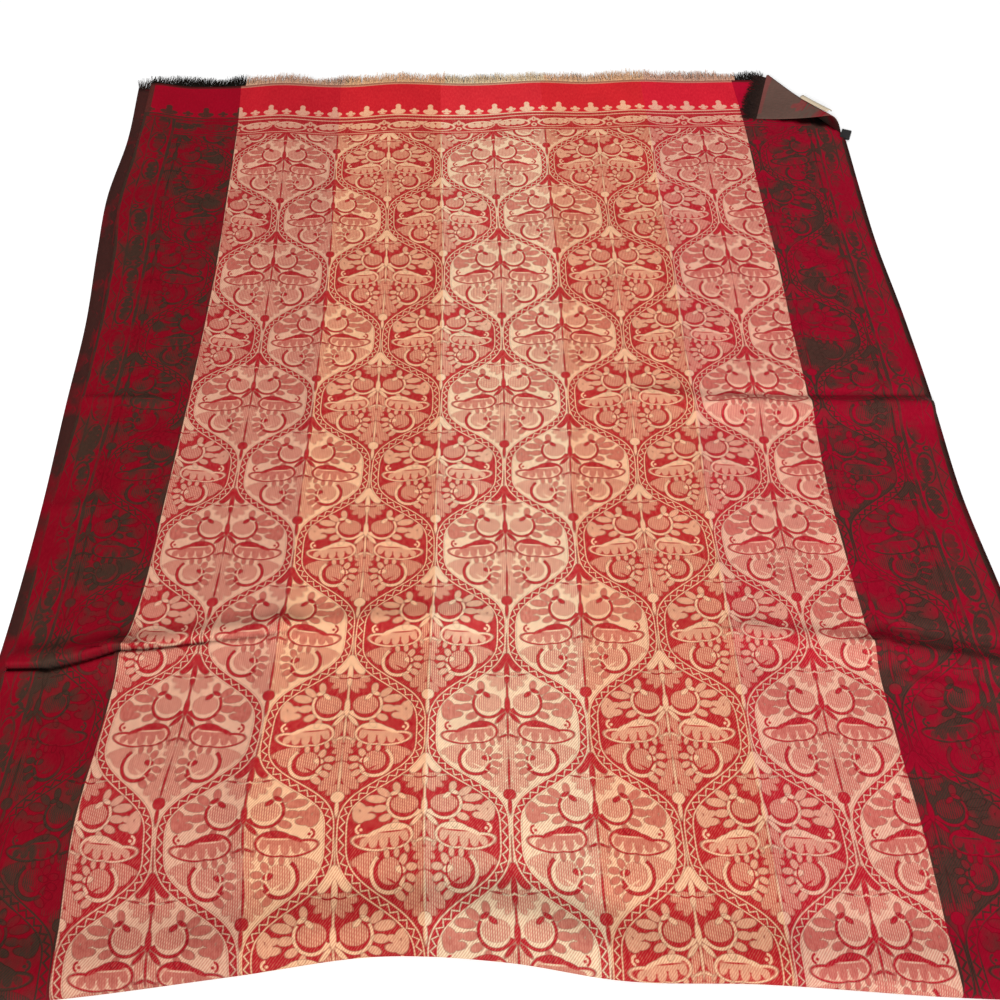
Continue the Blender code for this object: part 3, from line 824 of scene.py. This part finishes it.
def newMaterial(name, roughness, sheen, specular=0.25):
    made = bpy.data.materials.new(name)
    made.use_nodes = True
    shader = made.node_tree.nodes["Principled BSDF"]
    shader.inputs["Roughness"].default_value = roughness
    shader.inputs["Sheen Weight"].default_value = sheen
    shader.inputs["Sheen Roughness"].default_value = 0.4
    shader.inputs["Specular IOR Level"].default_value = specular
    return made, made.node_tree, shader


def relief(tree, shader, height, distance, strength):
    bump = tree.nodes.new("ShaderNodeBump")
    bump.inputs["Distance"].default_value = distance
    bump.inputs["Strength"].default_value = strength
    feed(tree, bump.inputs["Height"], height)
    tree.links.new(bump.outputs[0], shader.inputs["Normal"])


def clothMaterial(name, groups, backWarpAndShade=None):
    made, tree, shader = newMaterial(name, 0.65, 0.0, 0.05)
    coords = tree.nodes.new("ShaderNodeUVMap")
    coords.uv_map = "pattern"
    column, row, _ = Wire(tree, coords.outputs[0]).parts()
    field = placeGroup(tree, groups["ogee"], Column=column, Row=row)
    woven = placeGroup(tree, groups["borders"], Column=column, Row=row,
                       Field_light=field["Light"], Field_outline=field["Outline"])
    colours = placeGroup(tree, groups["warp"], Column=column)
    threads = placeGroup(tree, groups["twill"], Column=column, Row=row)
    light, warp = woven["Light"], colours["Warp"]
    if backWarpAndShade:
        # The back, its colours exchanged.
        light = 1.0 - light * (1.0 - woven["Selvedge"]) * (0.7 - woven["Plain red"] * 0.4)
        warp = blendedColour(1.0 - colours["Middle"], warp, backWarpAndShade)
    # The dark side bands are mottled where the brown warp is raised.
    raised = (threads["Cloud"] - 0.5) * 5.0
    bands = 1.0 - colours["Middle"]
    light = light + raised * bands * (1.0 - woven["Plain red"])
    light = light.math("ADD", 0.0, clamp=True)
    # Each ground lets a little of the other thread through.
    through = (threads["Thread"] * 0.9 - 0.25) * (1.0 - bands * 0.7)
    leak = (threads["Slub"] * 0.3 + threads["Thread"] * 0.3 - 0.29) * (1.0 - woven["Plain red"] * 0.8)
    light = light * (1.0 - through) + (1.0 - light) * leak
    light = light.math("ADD", 0.0, clamp=True)
    weft = dimmed(colours["Weft"], woven["Plain red"] * 0.3 + 0.7)
    colour = blendedColour(light, weft, warp)
    shade = 1.0 - woven["Outline"] * 0.30
    cloud = threads["Cloud"] * 0.3 + 0.85 - bands * 0.12
    slub = threads["Slub"] * 0.4 + 0.8
    # Painted shade: the shade point attribute darkens the colour in the slits, the open roll and under the near
    # fold, where little light reaches.
    paintedShade = tree.nodes.new("ShaderNodeAttribute")
    paintedShade.attribute_name = "shade"
    paintedLit = 1.0 - Wire(tree, paintedShade.outputs["Fac"]) * 0.94
    tintAndPaintedShade = shade * cloud * slub * paintedLit
    feed(tree, shader.inputs["Base Color"], dimmed(colour, tintAndPaintedShade))
    relief(tree, shader, threads["Thread"], weave["relief"], 0.5)
    return made


# Painted shade where little light reaches: the slit beside the left crease, and the mouth of the turned corner's
# roll.
PaintedShadeLine = namedtuple("PaintedShadeLine", "x y width share")
slit = [
    PaintedShadeLine(-0.345, -0.2282, 0.0016, 1.0),
    PaintedShadeLine(-0.304, -0.2274, 0.0016, 1.0),
    PaintedShadeLine(-0.263, -0.2176, 0.0014, 0.9),
    PaintedShadeLine(-0.204, -0.2106, 0.0011, 0.55),
    PaintedShadeLine(-0.150, -0.2050, 0.0010, 0.30),
    PaintedShadeLine(-0.090, -0.2010, 0.0010, 0.0),
]
mouth = [(0.256, 0.366), (0.264, 0.3612), (0.2863, 0.3550), (0.3196, 0.3465), (0.3456, 0.3380)]


def shadeAt(points, ridge):
    x, y = points[..., 0], points[..., 1]
    at = [paintedShade.x for paintedShade in slit]
    line = np.interp(x, at, [paintedShade.y for paintedShade in slit])
    width = np.interp(x, at, [paintedShade.width for paintedShade in slit])
    share = np.interp(x, at, [paintedShade.share for paintedShade in slit])
    shade = share * np.exp(-((y - line) / width) ** 2)
    # Painted shade in the mouth of the turned corner's roll.
    lip = np.interp(x, [place[0] for place in mouth], [place[1] for place in mouth])
    inMouth = np.clip((y - lip) / 0.0015 + 0.5, 0.0, 1.0) * np.clip((x - mouth[0][0]) / 0.004, 0.0, 1.0)
    shade = np.maximum(shade, inMouth * (y < 0.40))
    # Painted shade on the near roll: darker down its front, darkest where it tucks under.
    down = np.clip(np.arange(shade.shape[1]) - ridge, 0, cloth["rollSteps"]) / cloth["rollSteps"]
    return np.maximum(shade, 0.9 * down[None, :])


def makeUpperCloth(material):
    shares = np.linspace(0.0, 1.0, cloth["columns"] + 1)[:, None]
    places = rowPlaces()[None, :]
    left, right = sideAt("left", places), sideAt("right", places)
    x = left + shares * (right - left)
    middle = float(ridgeLine(0.0))
    start = cloth["stretchedFrom"]
    pull = np.clip((start - places) / (start - middle), 0.0, 1.0)
    y = places + (ridgeLine(x) - middle) * pull
    z = sheetHeight(x, y)
    top = np.stack([x, y, z], -1)
    # The near roll: over its top, down its front, then flat on the surface.
    topX, topY = x[:, -1:], y[:, -1:]
    depth, height = rollAt("depth", topX), rollAt("height", topX)
    angle = math.pi * np.arange(1, cloth["rollSteps"] + 1)[None, :] / cloth["rollSteps"]
    rollY = topY - depth * np.sin(angle)
    rollZ = height / 2 + height / 2 * np.cos(angle)
    front = np.stack([np.broadcast_to(topX, rollY.shape), rollY, rollZ], -1)
    tail = topY + cloth["tail"] * np.arange(1, cloth["tailSteps"] + 1)[None, :] / cloth["tailSteps"]
    back = np.stack([np.broadcast_to(topX, tail.shape), tail, np.zeros(tail.shape)], -1)
    points = np.concatenate([top, front, back], 1)
    points[..., 2] = np.maximum(points[..., 2], 0.0)

    edges = sideAt("left", points[..., 1]), sideAt("right", points[..., 1])
    column = patternColumn(points[..., 0], points[..., 1], *edges)
    column = column + drift("column", points[..., 0], points[..., 1], *edges)
    row = patternRow(points[..., 1]) + drift("row", points[..., 0], points[..., 1], *edges)
    ridge = top.shape[1] - 1
    steps = np.linalg.norm(np.diff(points[:, ridge:], axis=1), axis=-1)
    row[:, ridge + 1:] = row[:, ridge:ridge + 1] + np.cumsum(steps, 1) / cloth["rowPitch"]
    made = gridObject("upper_cloth", points, np.stack([column, row], -1), shadeAt(points, ridge))
    cutAtCorner(made, cloth["seam"])
    made.data.materials.append(material)
    giveThickness(made, cloth["thickness"])
    return made


def makeUnderCloth(material):
    _, along, inward = cornerFrame()
    shares = np.linspace(0.0, 1.0, 61)[:, None]
    top = cloth["farEdge"]
    rows = np.linspace(0.0, 1.0, 121)[None, :]
    edgeX = np.linspace(sideAt("left", -0.40), sideAt("right", -0.40), 61)[:, None]
    near = ridgeLine(edgeX) + cloth["tail"] + cloth["seam"]
    y = top + (near - top) * rows
    left, right = sideAt("underLeft", y), sideAt("right", y) + underRightPeek
    x = left + shares * (right - left)
    z = np.full(x.shape, cloth["wall"])
    points = np.stack([x, y, z], -1)
    at = bandColumns
    column = patternColumn(x, y, left, right)
    made = gridObject("under_cloth", points, np.stack([column, patternRow(y)], -1))
    cutAtCorner(made, -cornerFold["underPastFold"])
    made.data.materials.append(material)
    giveThickness(made, cloth["wall"] - 0.0001)
    return made


def cornerTop(share):
    length, along, _ = cornerFrame()
    first, last = cornerFold["topFromFar"], length - cornerFold["topFromSide"]
    top = cornerFold["far"] + along * (first + share * (last - first))
    heights = cornerFold["rollHeights"]
    top.z = float(smoothThrough([h[0] for h in heights], [h[1] for h in heights], share))
    return top


def cornerPoint(share, reach):
    _, _, inward = cornerFrame()
    top = cornerTop(share)
    place = top + inward * reach
    flat = layerTop + cloth["seam"] + cloth["wall"] + cornerFold["flatLift"]
    flat += float(foldHeight(place.x, place.y))
    lift = max(1 - reach / cornerFold["liftSpan"], 0.0) ** cornerFold["liftPower"]
    place.z = flat + max(top.z - flat, 0.0) * lift
    return place


def tipOnRoll():
    _, along, inward = cornerFrame()
    start, end = cornerTop(0.0), cornerTop(1.0)
    tip = cornerFold["tip"] - start
    return tip.dot(along) / (end - start).dot(along), tip.dot(inward)


def cornerReach(share):
    tipShare, deepest = tipOnRoll()
    side = share / tipShare if share < tipShare else (1 - share) / (1 - tipShare)
    return max(deepest * side, cornerFold["leastReach"])


def clothEdgeAt(share):
    # Where the turned edge lay before it was turned.
    tipShare, _ = tipOnRoll()
    corner = cornerFold["clothCorner"]
    if share < tipShare:
        return cornerFold["far"].lerp(corner, share / tipShare)
    return corner.lerp(cornerFold["side"], (share - tipShare) / (1 - tipShare))


def makeTurnedCorner(material):
    _, _, inward = cornerFrame()
    low = cloth["wall"] + cloth["seam"]
    tipShare, _ = tipOnRoll()
    before, after = cornerFold["columnsToTip"], cornerFold["columnsPastTip"]
    shares = [tipShare * i / before for i in range(before)]
    shares += [tipShare + (1 - tipShare) * i / after for i in range(after + 1)]
    bends, spans = cornerFold["bends"], cornerFold["spans"]
    columns, pattern = [], []
    for share in shares:
        root = cornerFold["far"].lerp(cornerFold["side"], share)
        top = cornerTop(share)
        column = []
        for bend in range(bends):
            angle = math.pi * bend / bends
            point = root.lerp(Vector((top.x, top.y, 0.0)), bend / bends)
            point -= inward * (cornerFold["lip"] + cornerFold["rollReach"] * math.sin(angle))
            point.z = (top.z + low) / 2 - (top.z - low) / 2 * math.cos(angle)
            column.append(point)
        for span in range(spans + 1):
            column.append(cornerPoint(share, cornerReach(share) * span / spans))
        column = np.array([list(point) for point in column])
        steps = np.concatenate([[0.0], np.cumsum(np.linalg.norm(np.diff(column, axis=0), axis=1))])
        part = steps / steps[-1]
        flatFrom, flatTo = np.array(root), np.array(clothEdgeAt(share))
        flat = flatFrom + (flatTo - flatFrom) * part[:, None]
        x, y = flat[:, 0], flat[:, 1]
        uv = np.stack([patternColumn(x, y, sideAt("left", y), sideAt("right", y)), patternRow(y)], -1)
        columns.append(column)
        pattern.append(uv)
    points, pattern = np.array(columns), np.array(pattern)
    # Painted shade inside the roll: its colour is darkened there.
    shade = np.zeros(points.shape[:2])
    shade[:, :bends] = 0.92 * (1.0 - np.linspace(0.0, 1.0, bends) ** 3)
    made = gridObject("turned_cloth", points[:, ::-1], pattern[:, ::-1], shade[:, ::-1])
    made.data.materials.append(material)
    faceUp(made)
    giveThickness(made, cloth["thickness"])
    return made


def faceUp(obj):
    highest = max(obj.data.polygons, key=lambda face: face.center.z)
    if highest.normal.z < 0:
        obj.data.flip_normals()


# fringe

fringe = {
    "length": 0.0150,
    "strands": 2500,
    "width": 0.00032,
    "lean": 0.26,
    "curl": 0.0036,
    "segments": 5,
}


class NodeMaker:
    # Adds nodes to a Geometry Nodes tree and joins them by socket name.
    def __init__(self, tree):
        self.tree = tree

    def add(self, kind, settings=None, **values):
        node = self.tree.nodes.new(kind)
        for name, value in (settings or {}).items():
            setattr(node, name, value)
        for name, value in values.items():
            slot = node.inputs[name.replace("_", " ")]
            self.put(slot, value)
        return node

    def put(self, slot, value):
        if isinstance(value, bpy.types.NodeSocket):
            self.tree.links.new(value, slot)
        else:
            slot.default_value = value


def buildFringeTree():
    tree = bpy.data.node_groups.new("fringe strands", "GeometryNodeTree")
    face = tree.interface
    for label, kind, value in (
        ("Geometry", "NodeSocketGeometry", None), ("Strands", "NodeSocketInt", 800),
        ("Length", "NodeSocketFloat", 0.013), ("Strand width", "NodeSocketFloat", 0.0002),
        ("Lean", "NodeSocketFloat", 0.3), ("Curl", "NodeSocketFloat", 0.003),
        ("Outward angle", "NodeSocketFloat", 0.0), ("Lowest", "NodeSocketFloat", 0.0004),
        ("Material", "NodeSocketMaterial", None),
    ):
        made = face.new_socket(label, in_out="INPUT", socket_type=kind)
        if value is not None:
            made.default_value = value
    face.new_socket("Geometry", in_out="OUTPUT", socket_type="NodeSocketGeometry")
    make = NodeMaker(tree)
    given = tree.nodes.new("NodeGroupInput").outputs
    leave = tree.nodes.new("NodeGroupOutput")

    curve = make.add("GeometryNodeMeshToCurve", Mesh=given["Geometry"])
    roots = make.add("GeometryNodeCurveToPoints", {"mode": "COUNT"}, Curve=curve.outputs[0],
                     Count=given["Strands"])
    # One strand stands along Z, a unit long, and narrows to its tip.
    line = make.add("GeometryNodeCurvePrimitiveLine", Start=(0, 0, 0), End=(0, 0, 1))
    line = make.add("GeometryNodeResampleCurve", Curve=line.outputs[0])
    line.inputs["Count"].default_value = fringe["segments"] + 1
    along = make.add("GeometryNodeSplineParameter")
    taper = make.add("ShaderNodeMath", {"operation": "MULTIPLY_ADD"})
    make.put(taper.inputs[0], along.outputs["Factor"])
    taper.inputs[1].default_value = -0.55
    taper.inputs[2].default_value = 1.0
    store = make.add("GeometryNodeStoreNamedAttribute", {"data_type": "FLOAT", "domain": "POINT"},
                     Geometry=line.outputs[0], Name="along")
    make.put(store.inputs["Value"], along.outputs["Factor"])
    ring = make.add("GeometryNodeCurvePrimitiveCircle", Resolution=3)
    make.put(ring.inputs["Radius"], given["Strand width"])
    tube = make.add("GeometryNodeCurveToMesh", Curve=store.outputs[0], Profile_Curve=ring.outputs[0])
    tube.inputs["Fill Caps"].default_value = True
    make.put(tube.inputs["Scale"], taper.outputs[0])

    # Lay it outwards, lean it aside, and let neighbours lean together.
    place = make.add("GeometryNodeInputPosition")
    tufts = make.add("ShaderNodeTexNoise", Scale=95.0, Detail=1.0)
    make.put(tufts.inputs["Vector"], place.outputs[0])
    tuftLean = make.add("ShaderNodeMath", {"operation": "MULTIPLY_ADD"})
    make.put(tuftLean.inputs[0], tufts.outputs[0])
    tuftLean.inputs[1].default_value = 2.4
    tuftLean.inputs[2].default_value = -1.2
    chance = make.add("FunctionNodeRandomValue", {"data_type": "FLOAT"}, Seed=11)
    chance.inputs[2].default_value = -1.0
    chance.inputs[3].default_value = 1.0
    mixed = make.add("ShaderNodeMath", {"operation": "ADD"})
    make.put(mixed.inputs[0], tuftLean.outputs[0])
    make.put(mixed.inputs[1], chance.outputs[1])
    leaned = make.add("ShaderNodeMath", {"operation": "MULTIPLY"})
    make.put(leaned.inputs[0], mixed.outputs[0])
    make.put(leaned.inputs[1], given["Lean"])
    heading = make.add("ShaderNodeMath", {"operation": "ADD"})
    make.put(heading.inputs[0], leaned.outputs[0])
    make.put(heading.inputs[1], given["Outward angle"])
    tilt = make.add("FunctionNodeRandomValue", {"data_type": "FLOAT"}, Seed=12)
    tilt.inputs[2].default_value = math.radians(-96)
    tilt.inputs[3].default_value = math.radians(-80)
    turn = make.add("ShaderNodeCombineXYZ")
    make.put(turn.inputs[0], tilt.outputs[1])
    make.put(turn.inputs[2], heading.outputs[0])
    spread = make.add("FunctionNodeRandomValue", {"data_type": "FLOAT"}, Seed=13)
    spread.inputs[2].default_value = 0.72
    spread.inputs[3].default_value = 1.12
    longer = make.add("ShaderNodeMath", {"operation": "MULTIPLY"})
    make.put(longer.inputs[0], spread.outputs[1])
    make.put(longer.inputs[1], given["Length"])
    # Some stretches of the fringe are longer than others.
    stretches = make.add("ShaderNodeTexNoise", Scale=26.0, Detail=2.0)
    make.put(stretches.inputs["Vector"], place.outputs[0])
    uneven = make.add("ShaderNodeMath", {"operation": "MULTIPLY_ADD"})
    make.put(uneven.inputs[0], stretches.outputs[0])
    uneven.inputs[1].default_value = 1.5
    uneven.inputs[2].default_value = 0.2
    unevenly = make.add("ShaderNodeMath", {"operation": "MULTIPLY"})
    make.put(unevenly.inputs[0], longer.outputs[0])
    make.put(unevenly.inputs[1], uneven.outputs[0])
    stretch = make.add("ShaderNodeCombineXYZ", X=1.0, Y=1.0)
    make.put(stretch.inputs[2], unevenly.outputs[0])
    strands = make.add("GeometryNodeInstanceOnPoints", Points=roots.outputs[0], Instance=tube.outputs[0])
    make.put(strands.inputs["Rotation"], turn.outputs[0])
    make.put(strands.inputs["Scale"], stretch.outputs[0])
    real = make.add("GeometryNodeRealizeInstances", Geometry=strands.outputs[0])

    # Curl each strand more towards its tip.
    curls = make.add("ShaderNodeTexNoise", Scale=260.0, Detail=1.0)
    make.put(curls.inputs["Vector"], place.outputs[0])
    centred = make.add("ShaderNodeVectorMath", {"operation": "SUBTRACT"})
    make.put(centred.inputs[0], curls.outputs[1])
    centred.inputs[1].default_value = (0.5, 0.5, 0.5)
    name = make.add("GeometryNodeInputNamedAttribute", {"data_type": "FLOAT"}, Name="along")
    squared = make.add("ShaderNodeMath", {"operation": "MULTIPLY"})
    make.put(squared.inputs[0], name.outputs[0])
    make.put(squared.inputs[1], name.outputs[0])
    amount = make.add("ShaderNodeMath", {"operation": "MULTIPLY"})
    make.put(amount.inputs[0], squared.outputs[0])
    make.put(amount.inputs[1], given["Curl"])
    pushed = make.add("ShaderNodeVectorMath", {"operation": "SCALE"})
    make.put(pushed.inputs[0], centred.outputs[0])
    make.put(pushed.inputs["Scale"], amount.outputs[0])
    bent = make.add("GeometryNodeSetPosition", Geometry=real.outputs[0])
    make.put(bent.inputs["Offset"], pushed.outputs[0])
    # Nothing sinks below what the fringe lies on.
    parts = make.add("ShaderNodeSeparateXYZ")
    make.put(parts.inputs[0], place.outputs[0])
    kept = make.add("ShaderNodeMath", {"operation": "MAXIMUM"})
    make.put(kept.inputs[0], parts.outputs[2])
    make.put(kept.inputs[1], given["Lowest"])
    back = make.add("ShaderNodeCombineXYZ")
    make.put(back.inputs[0], parts.outputs[0])
    make.put(back.inputs[1], parts.outputs[1])
    make.put(back.inputs[2], kept.outputs[0])
    resting = make.add("GeometryNodeSetPosition", Geometry=bent.outputs[0])
    make.put(resting.inputs["Position"], back.outputs[0])
    final = make.add("GeometryNodeRealizeInstances", Geometry=resting.outputs[0])
    coloured = make.add("GeometryNodeSetMaterial", Geometry=final.outputs[0])
    make.put(coloured.inputs["Material"], given["Material"])
    tree.links.new(coloured.outputs[0], leave.inputs[0])
    return tree


def makeFringe(name, tree, roots, material, strands, angle, lowest, length):
    mesh = bpy.data.meshes.new(name)
    edges = [(i, i + 1) for i in range(len(roots) - 1)]
    mesh.from_pydata([tuple(point + standsAt) for point in roots], edges, [])
    guide = bpy.data.objects.new(name + "_guide", mesh)
    bpy.context.scene.collection.objects.link(guide)
    modifier = guide.modifiers.new("strands", "NODES")
    modifier.node_group = tree
    sockets = {item.name: item.identifier for item in tree.interface.items_tree if item.in_out == "INPUT"}
    values = {
        "Strands": strands, "Length": length, "Strand width": fringe["width"], "Lean": fringe["lean"],
        "Curl": fringe["curl"], "Outward angle": angle, "Lowest": lowest, "Material": material,
    }
    for label, value in values.items():
        modifier[sockets[label]] = value
    graph = bpy.context.evaluated_depsgraph_get()
    result = bpy.data.meshes.new_from_object(guide.evaluated_get(graph))
    bpy.data.objects.remove(guide)
    made = bpy.data.objects.new(name, result)
    bpy.context.scene.collection.objects.link(made)
    return made


def fringeMaterial(name, groups, dark):
    made, tree, shader = newMaterial(name, 0.8, 0.02, 0.04)
    place = Wire(tree, tree.nodes.new("ShaderNodeTexCoord").outputs["Object"])
    x, y, z = place.parts()
    column = (x - standsAt.x) / cloth["columnPitch"] + 3.95
    noise = tree.nodes.new("ShaderNodeTexNoise")
    noise.inputs["Scale"].default_value = 900.0
    feed(tree, noise.inputs["Vector"], place)
    vary = Wire(tree, noise.outputs[0]) * 0.9 + 0.5
    if dark:
        colour = blendedColour(vary.math("ADD", 0.0, clamp=True), rgb(16, 11, 10), rgb(48, 33, 29))
    else:
        threads = placeGroup(tree, groups["warp"], Column=column)
        colour = dimmed(threads["Warp"], threads["Middle"] * 0.62 + 0.28)
    feed(tree, shader.inputs["Base Color"], dimmed(colour, vary))
    return made


def makeFringes(groups, tree):
    light = fringeMaterial("warp ends", groups, False)
    dark = fringeMaterial("dark warp ends", groups, True)
    farEdge, wall = cloth["farEdge"], cloth["wall"]
    left, right = float(sideAt("left", farEdge)), cornerFold["far"].x - 0.0015
    roots = []
    for x in np.linspace(left, right, 160):
        roots.append(Vector((x, farEdge, float(sheetHeight(x, farEdge)) - wall / 3)))
    made = [makeFringe("upper_fringe_threads", tree, roots, light, fringe["strands"], 0.0, 0.0030,
                       fringe["length"])]
    left, right = float(sideAt("underLeft", farEdge)), cornerFold["far"].x
    roots = [Vector((x, farEdge, wall / 2)) for x in np.linspace(left, right, 60)]
    made.append(makeFringe("under_fringe_threads", tree, roots, dark, 2300, 0.0, 0.0003, fringe["length"]))
    tipShare, deepest = tipOnRoll()
    edge = cornerFold["tip"] - cornerTop(0.0)
    outward = Vector((edge.y, -edge.x, 0.0)).normalized()
    roots = []
    for share in np.linspace(0.04, 1.0, 30):
        point = cornerPoint(tipShare * share, deepest * share)
        roots.append(point - up * wall / 3)
    angle = math.atan2(outward.y, outward.x) - math.pi / 2
    made.append(makeFringe("corner_fringe_threads", tree, roots, dark, 420, angle, layerTop + 0.0003,
                           fringe["length"]))
    return made


# labels, bare

labels = {
    "creamArch": [(0.0, 0.0), (0.0012, 0.0009), (0.0024, 0.0012), (0.0040, 0.0010), (0.0055, 0.0004),
                  (0.0070, -0.0008), (0.0090, -0.0024)],
    "creamStart": 0.54,
    "creamEnd": 0.95,
    "creamColumns": 16,
    "creamWall": 0.0008,
    "blackSize": Vector((0.0090, 0.0130, 0.0016)),
    "blackPlace": Vector((0.3468, 0.3320, 0.0029)),
    "blackTurn": math.radians(-22),
}


def tapeMaterial(name, base, ribs):
    made, tree, shader = newMaterial(name, 0.55, 0.1, 0.3)
    place = Wire(tree, tree.nodes.new("ShaderNodeTexCoord").outputs["Object"])
    x, y, z = place.parts()
    rib = ((x + y * 0.6) * (2 * math.pi / ribs)).math("SINE") * 0.5 + 0.5
    vary = rib * 0.25 + 0.8
    feed(tree, shader.inputs["Base Color"], dimmed(base[:3], vary))
    relief(tree, shader, rib, 0.0001, 0.4)
    return made


def makeCreamLabel():
    _, _, inward = cornerFrame()
    columns = []
    start, end = labels["creamStart"], labels["creamEnd"]
    for i in range(labels["creamColumns"] + 1):
        root = cornerTop(start + (end - start) * i / labels["creamColumns"])
        root.z += 2 * cloth["seam"] + labels["creamWall"]
        columns.append([list(root - inward * out + up * rise) for out, rise in labels["creamArch"]])
    points = np.array(columns)
    made = gridObject("cream_label_tape", points, points[..., :2])
    made.data.materials.append(tapeMaterial("cream tape", rgb(214, 196, 168), 0.0009))
    faceUp(made)
    giveThickness(made, labels["creamWall"])
    return made


def makeBlackLabel():
    # A tape folded over the selvedge: two plies, joined by a round bend on its outer side.
    width, depth, height = labels["blackSize"]
    ply = 0.0006
    profile = []
    for step in range(13):
        angle = -math.pi / 2 + math.pi * step / 12
        radius = (height - ply) / 2
        profile.append((width / 2 - radius + radius * math.cos(angle), radius * math.sin(angle)))
    profile = [(-width / 2, -radius)] + profile + [(-width / 2, radius)]
    turn = labels["blackTurn"]
    columns = []
    for i in range(15):
        y = depth * (i / 14 - 0.5)
        column = []
        for x, z in profile:
            place = Vector((x * math.cos(turn) - y * math.sin(turn), x * math.sin(turn) + y * math.cos(turn), z))
            column.append(list(place + labels["blackPlace"]))
        columns.append(column)
    points = np.array(columns)
    made = gridObject("black_label_tape", points, points[..., :2])
    made.data.materials.append(tapeMaterial("black tape", rgb(34, 32, 33), 0.0008))
    giveThickness(made, ply)
    return made


# light, floor and camera

view = {
    "place": (-0.00078, -0.51360, 0.61731),
    "right": (0.99987, -0.01552, -0.00303),
    "up": (0.01455, 0.82788, 0.56071),
    "forward": (0.00619, 0.56069, -0.82800),
    "lens": 36.0,
    "sensor": 36.0,
}


def makeCamera():
    lens = bpy.data.cameras.new("photo view")
    lens.sensor_fit = "HORIZONTAL"
    lens.sensor_width = view["sensor"]
    lens.lens = view["lens"]
    lens.clip_start = 0.01
    camera = bpy.data.objects.new("photo view", lens)
    bpy.context.scene.collection.objects.link(camera)
    right, top, ahead = Vector(view["right"]), Vector(view["up"]), Vector(view["forward"])
    turned = Matrix((right, top, -ahead)).transposed()
    camera.matrix_world = Matrix.Translation(view["place"]) @ turned.to_4x4()
    bpy.context.scene.camera = camera


def makeFloor():
    mesh = bpy.data.meshes.new("floor")
    mesh.from_pydata([(-6, -6, 0), (6, -6, 0), (6, 6, 0), (-6, 6, 0)], [], [(0, 1, 2, 3)])
    floor = bpy.data.objects.new("floor", mesh)
    bpy.context.scene.collection.objects.link(floor)
    floor.location.z = -0.0002
    made, tree, shader = newMaterial("pale floor", 0.9, 0.0, 0.1)
    shader.inputs["Base Color"].default_value = (0.95, 0.95, 0.95, 1.0)
    shader.inputs["Emission Color"].default_value = (1.0, 1.0, 1.0, 1.0)
    shader.inputs["Emission Strength"].default_value = 0.22
    mesh.materials.append(made)


# Soft lamps: name, place, size and power; each is turned to face the origin.
Lamp = namedtuple("Lamp", "name place size power")
lamps = [
    Lamp("window", (-1.5, -5.0, 3.4), 2.6, 400.0),
    Lamp("overhead", (0.3, 0.4, 2.8), 2.4, 17.0),
]


def makeLight():
    world = bpy.data.worlds.new("studio")
    world.use_nodes = True
    world.node_tree.nodes["Background"].inputs["Color"].default_value = (1.0, 1.0, 1.0, 1.0)
    world.node_tree.nodes["Background"].inputs["Strength"].default_value = 0.26
    bpy.context.scene.world = world
    for lamp in lamps:
        data = bpy.data.lights.new(lamp.name, "AREA")
        data.shape = "DISK"
        data.size = lamp.size
        data.energy = lamp.power
        made = bpy.data.objects.new(lamp.name, data)
        bpy.context.scene.collection.objects.link(made)
        made.location = lamp.place
        made.rotation_euler = Vector(lamp.place).to_track_quat("Z", "Y").to_euler()
    bpy.context.scene.view_settings.view_transform = "Standard"


def dress(piece, node):
    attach(piece, "root")
    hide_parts(node)
    return piece


def main():
    makeCamera()
    makeLight()
    makeFloor()
    print("camera, light and floor are set")
    vineGroup = buildVineBand()
    groups = {
        "ogee": buildOgeeField(),
        "borders": buildBorders(vineGroup),
        "warp": buildWarpColours(),
        "twill": buildWeave(),
    }
    faceUpCloth = clothMaterial("jacquard face", groups)
    backCloth = clothMaterial("jacquard back", groups, rgb(98, 84, 74))
    # The under layer's back takes a darker warp colour than the turned corner's: the back's own colour with
    # painted shade where it lies beneath the upper layer.
    underCloth = clothMaterial("jacquard back underneath", groups, rgb(56, 36, 31))
    print("the pattern is charted")
    upper = dress(makeUpperCloth(faceUpCloth), "upper_layer")
    under = dress(makeUnderCloth(underCloth), "under_layer")
    corner = dress(makeTurnedCorner(backCloth), "turned_corner")
    print("the cloth is laid")
    tree = buildFringeTree()
    upperFringe, underFringe, cornerFringe = makeFringes(groups, tree)
    dress(upperFringe, "upper_fringe")
    dress(underFringe, "under_fringe")
    dress(cornerFringe, "corner_fringe")
    print("the fringe is knotted on")
    cream = dress(makeCreamLabel(), "cream_label")
    black = dress(makeBlackLabel(), "black_label")
    print("all pieces are in place")


main()
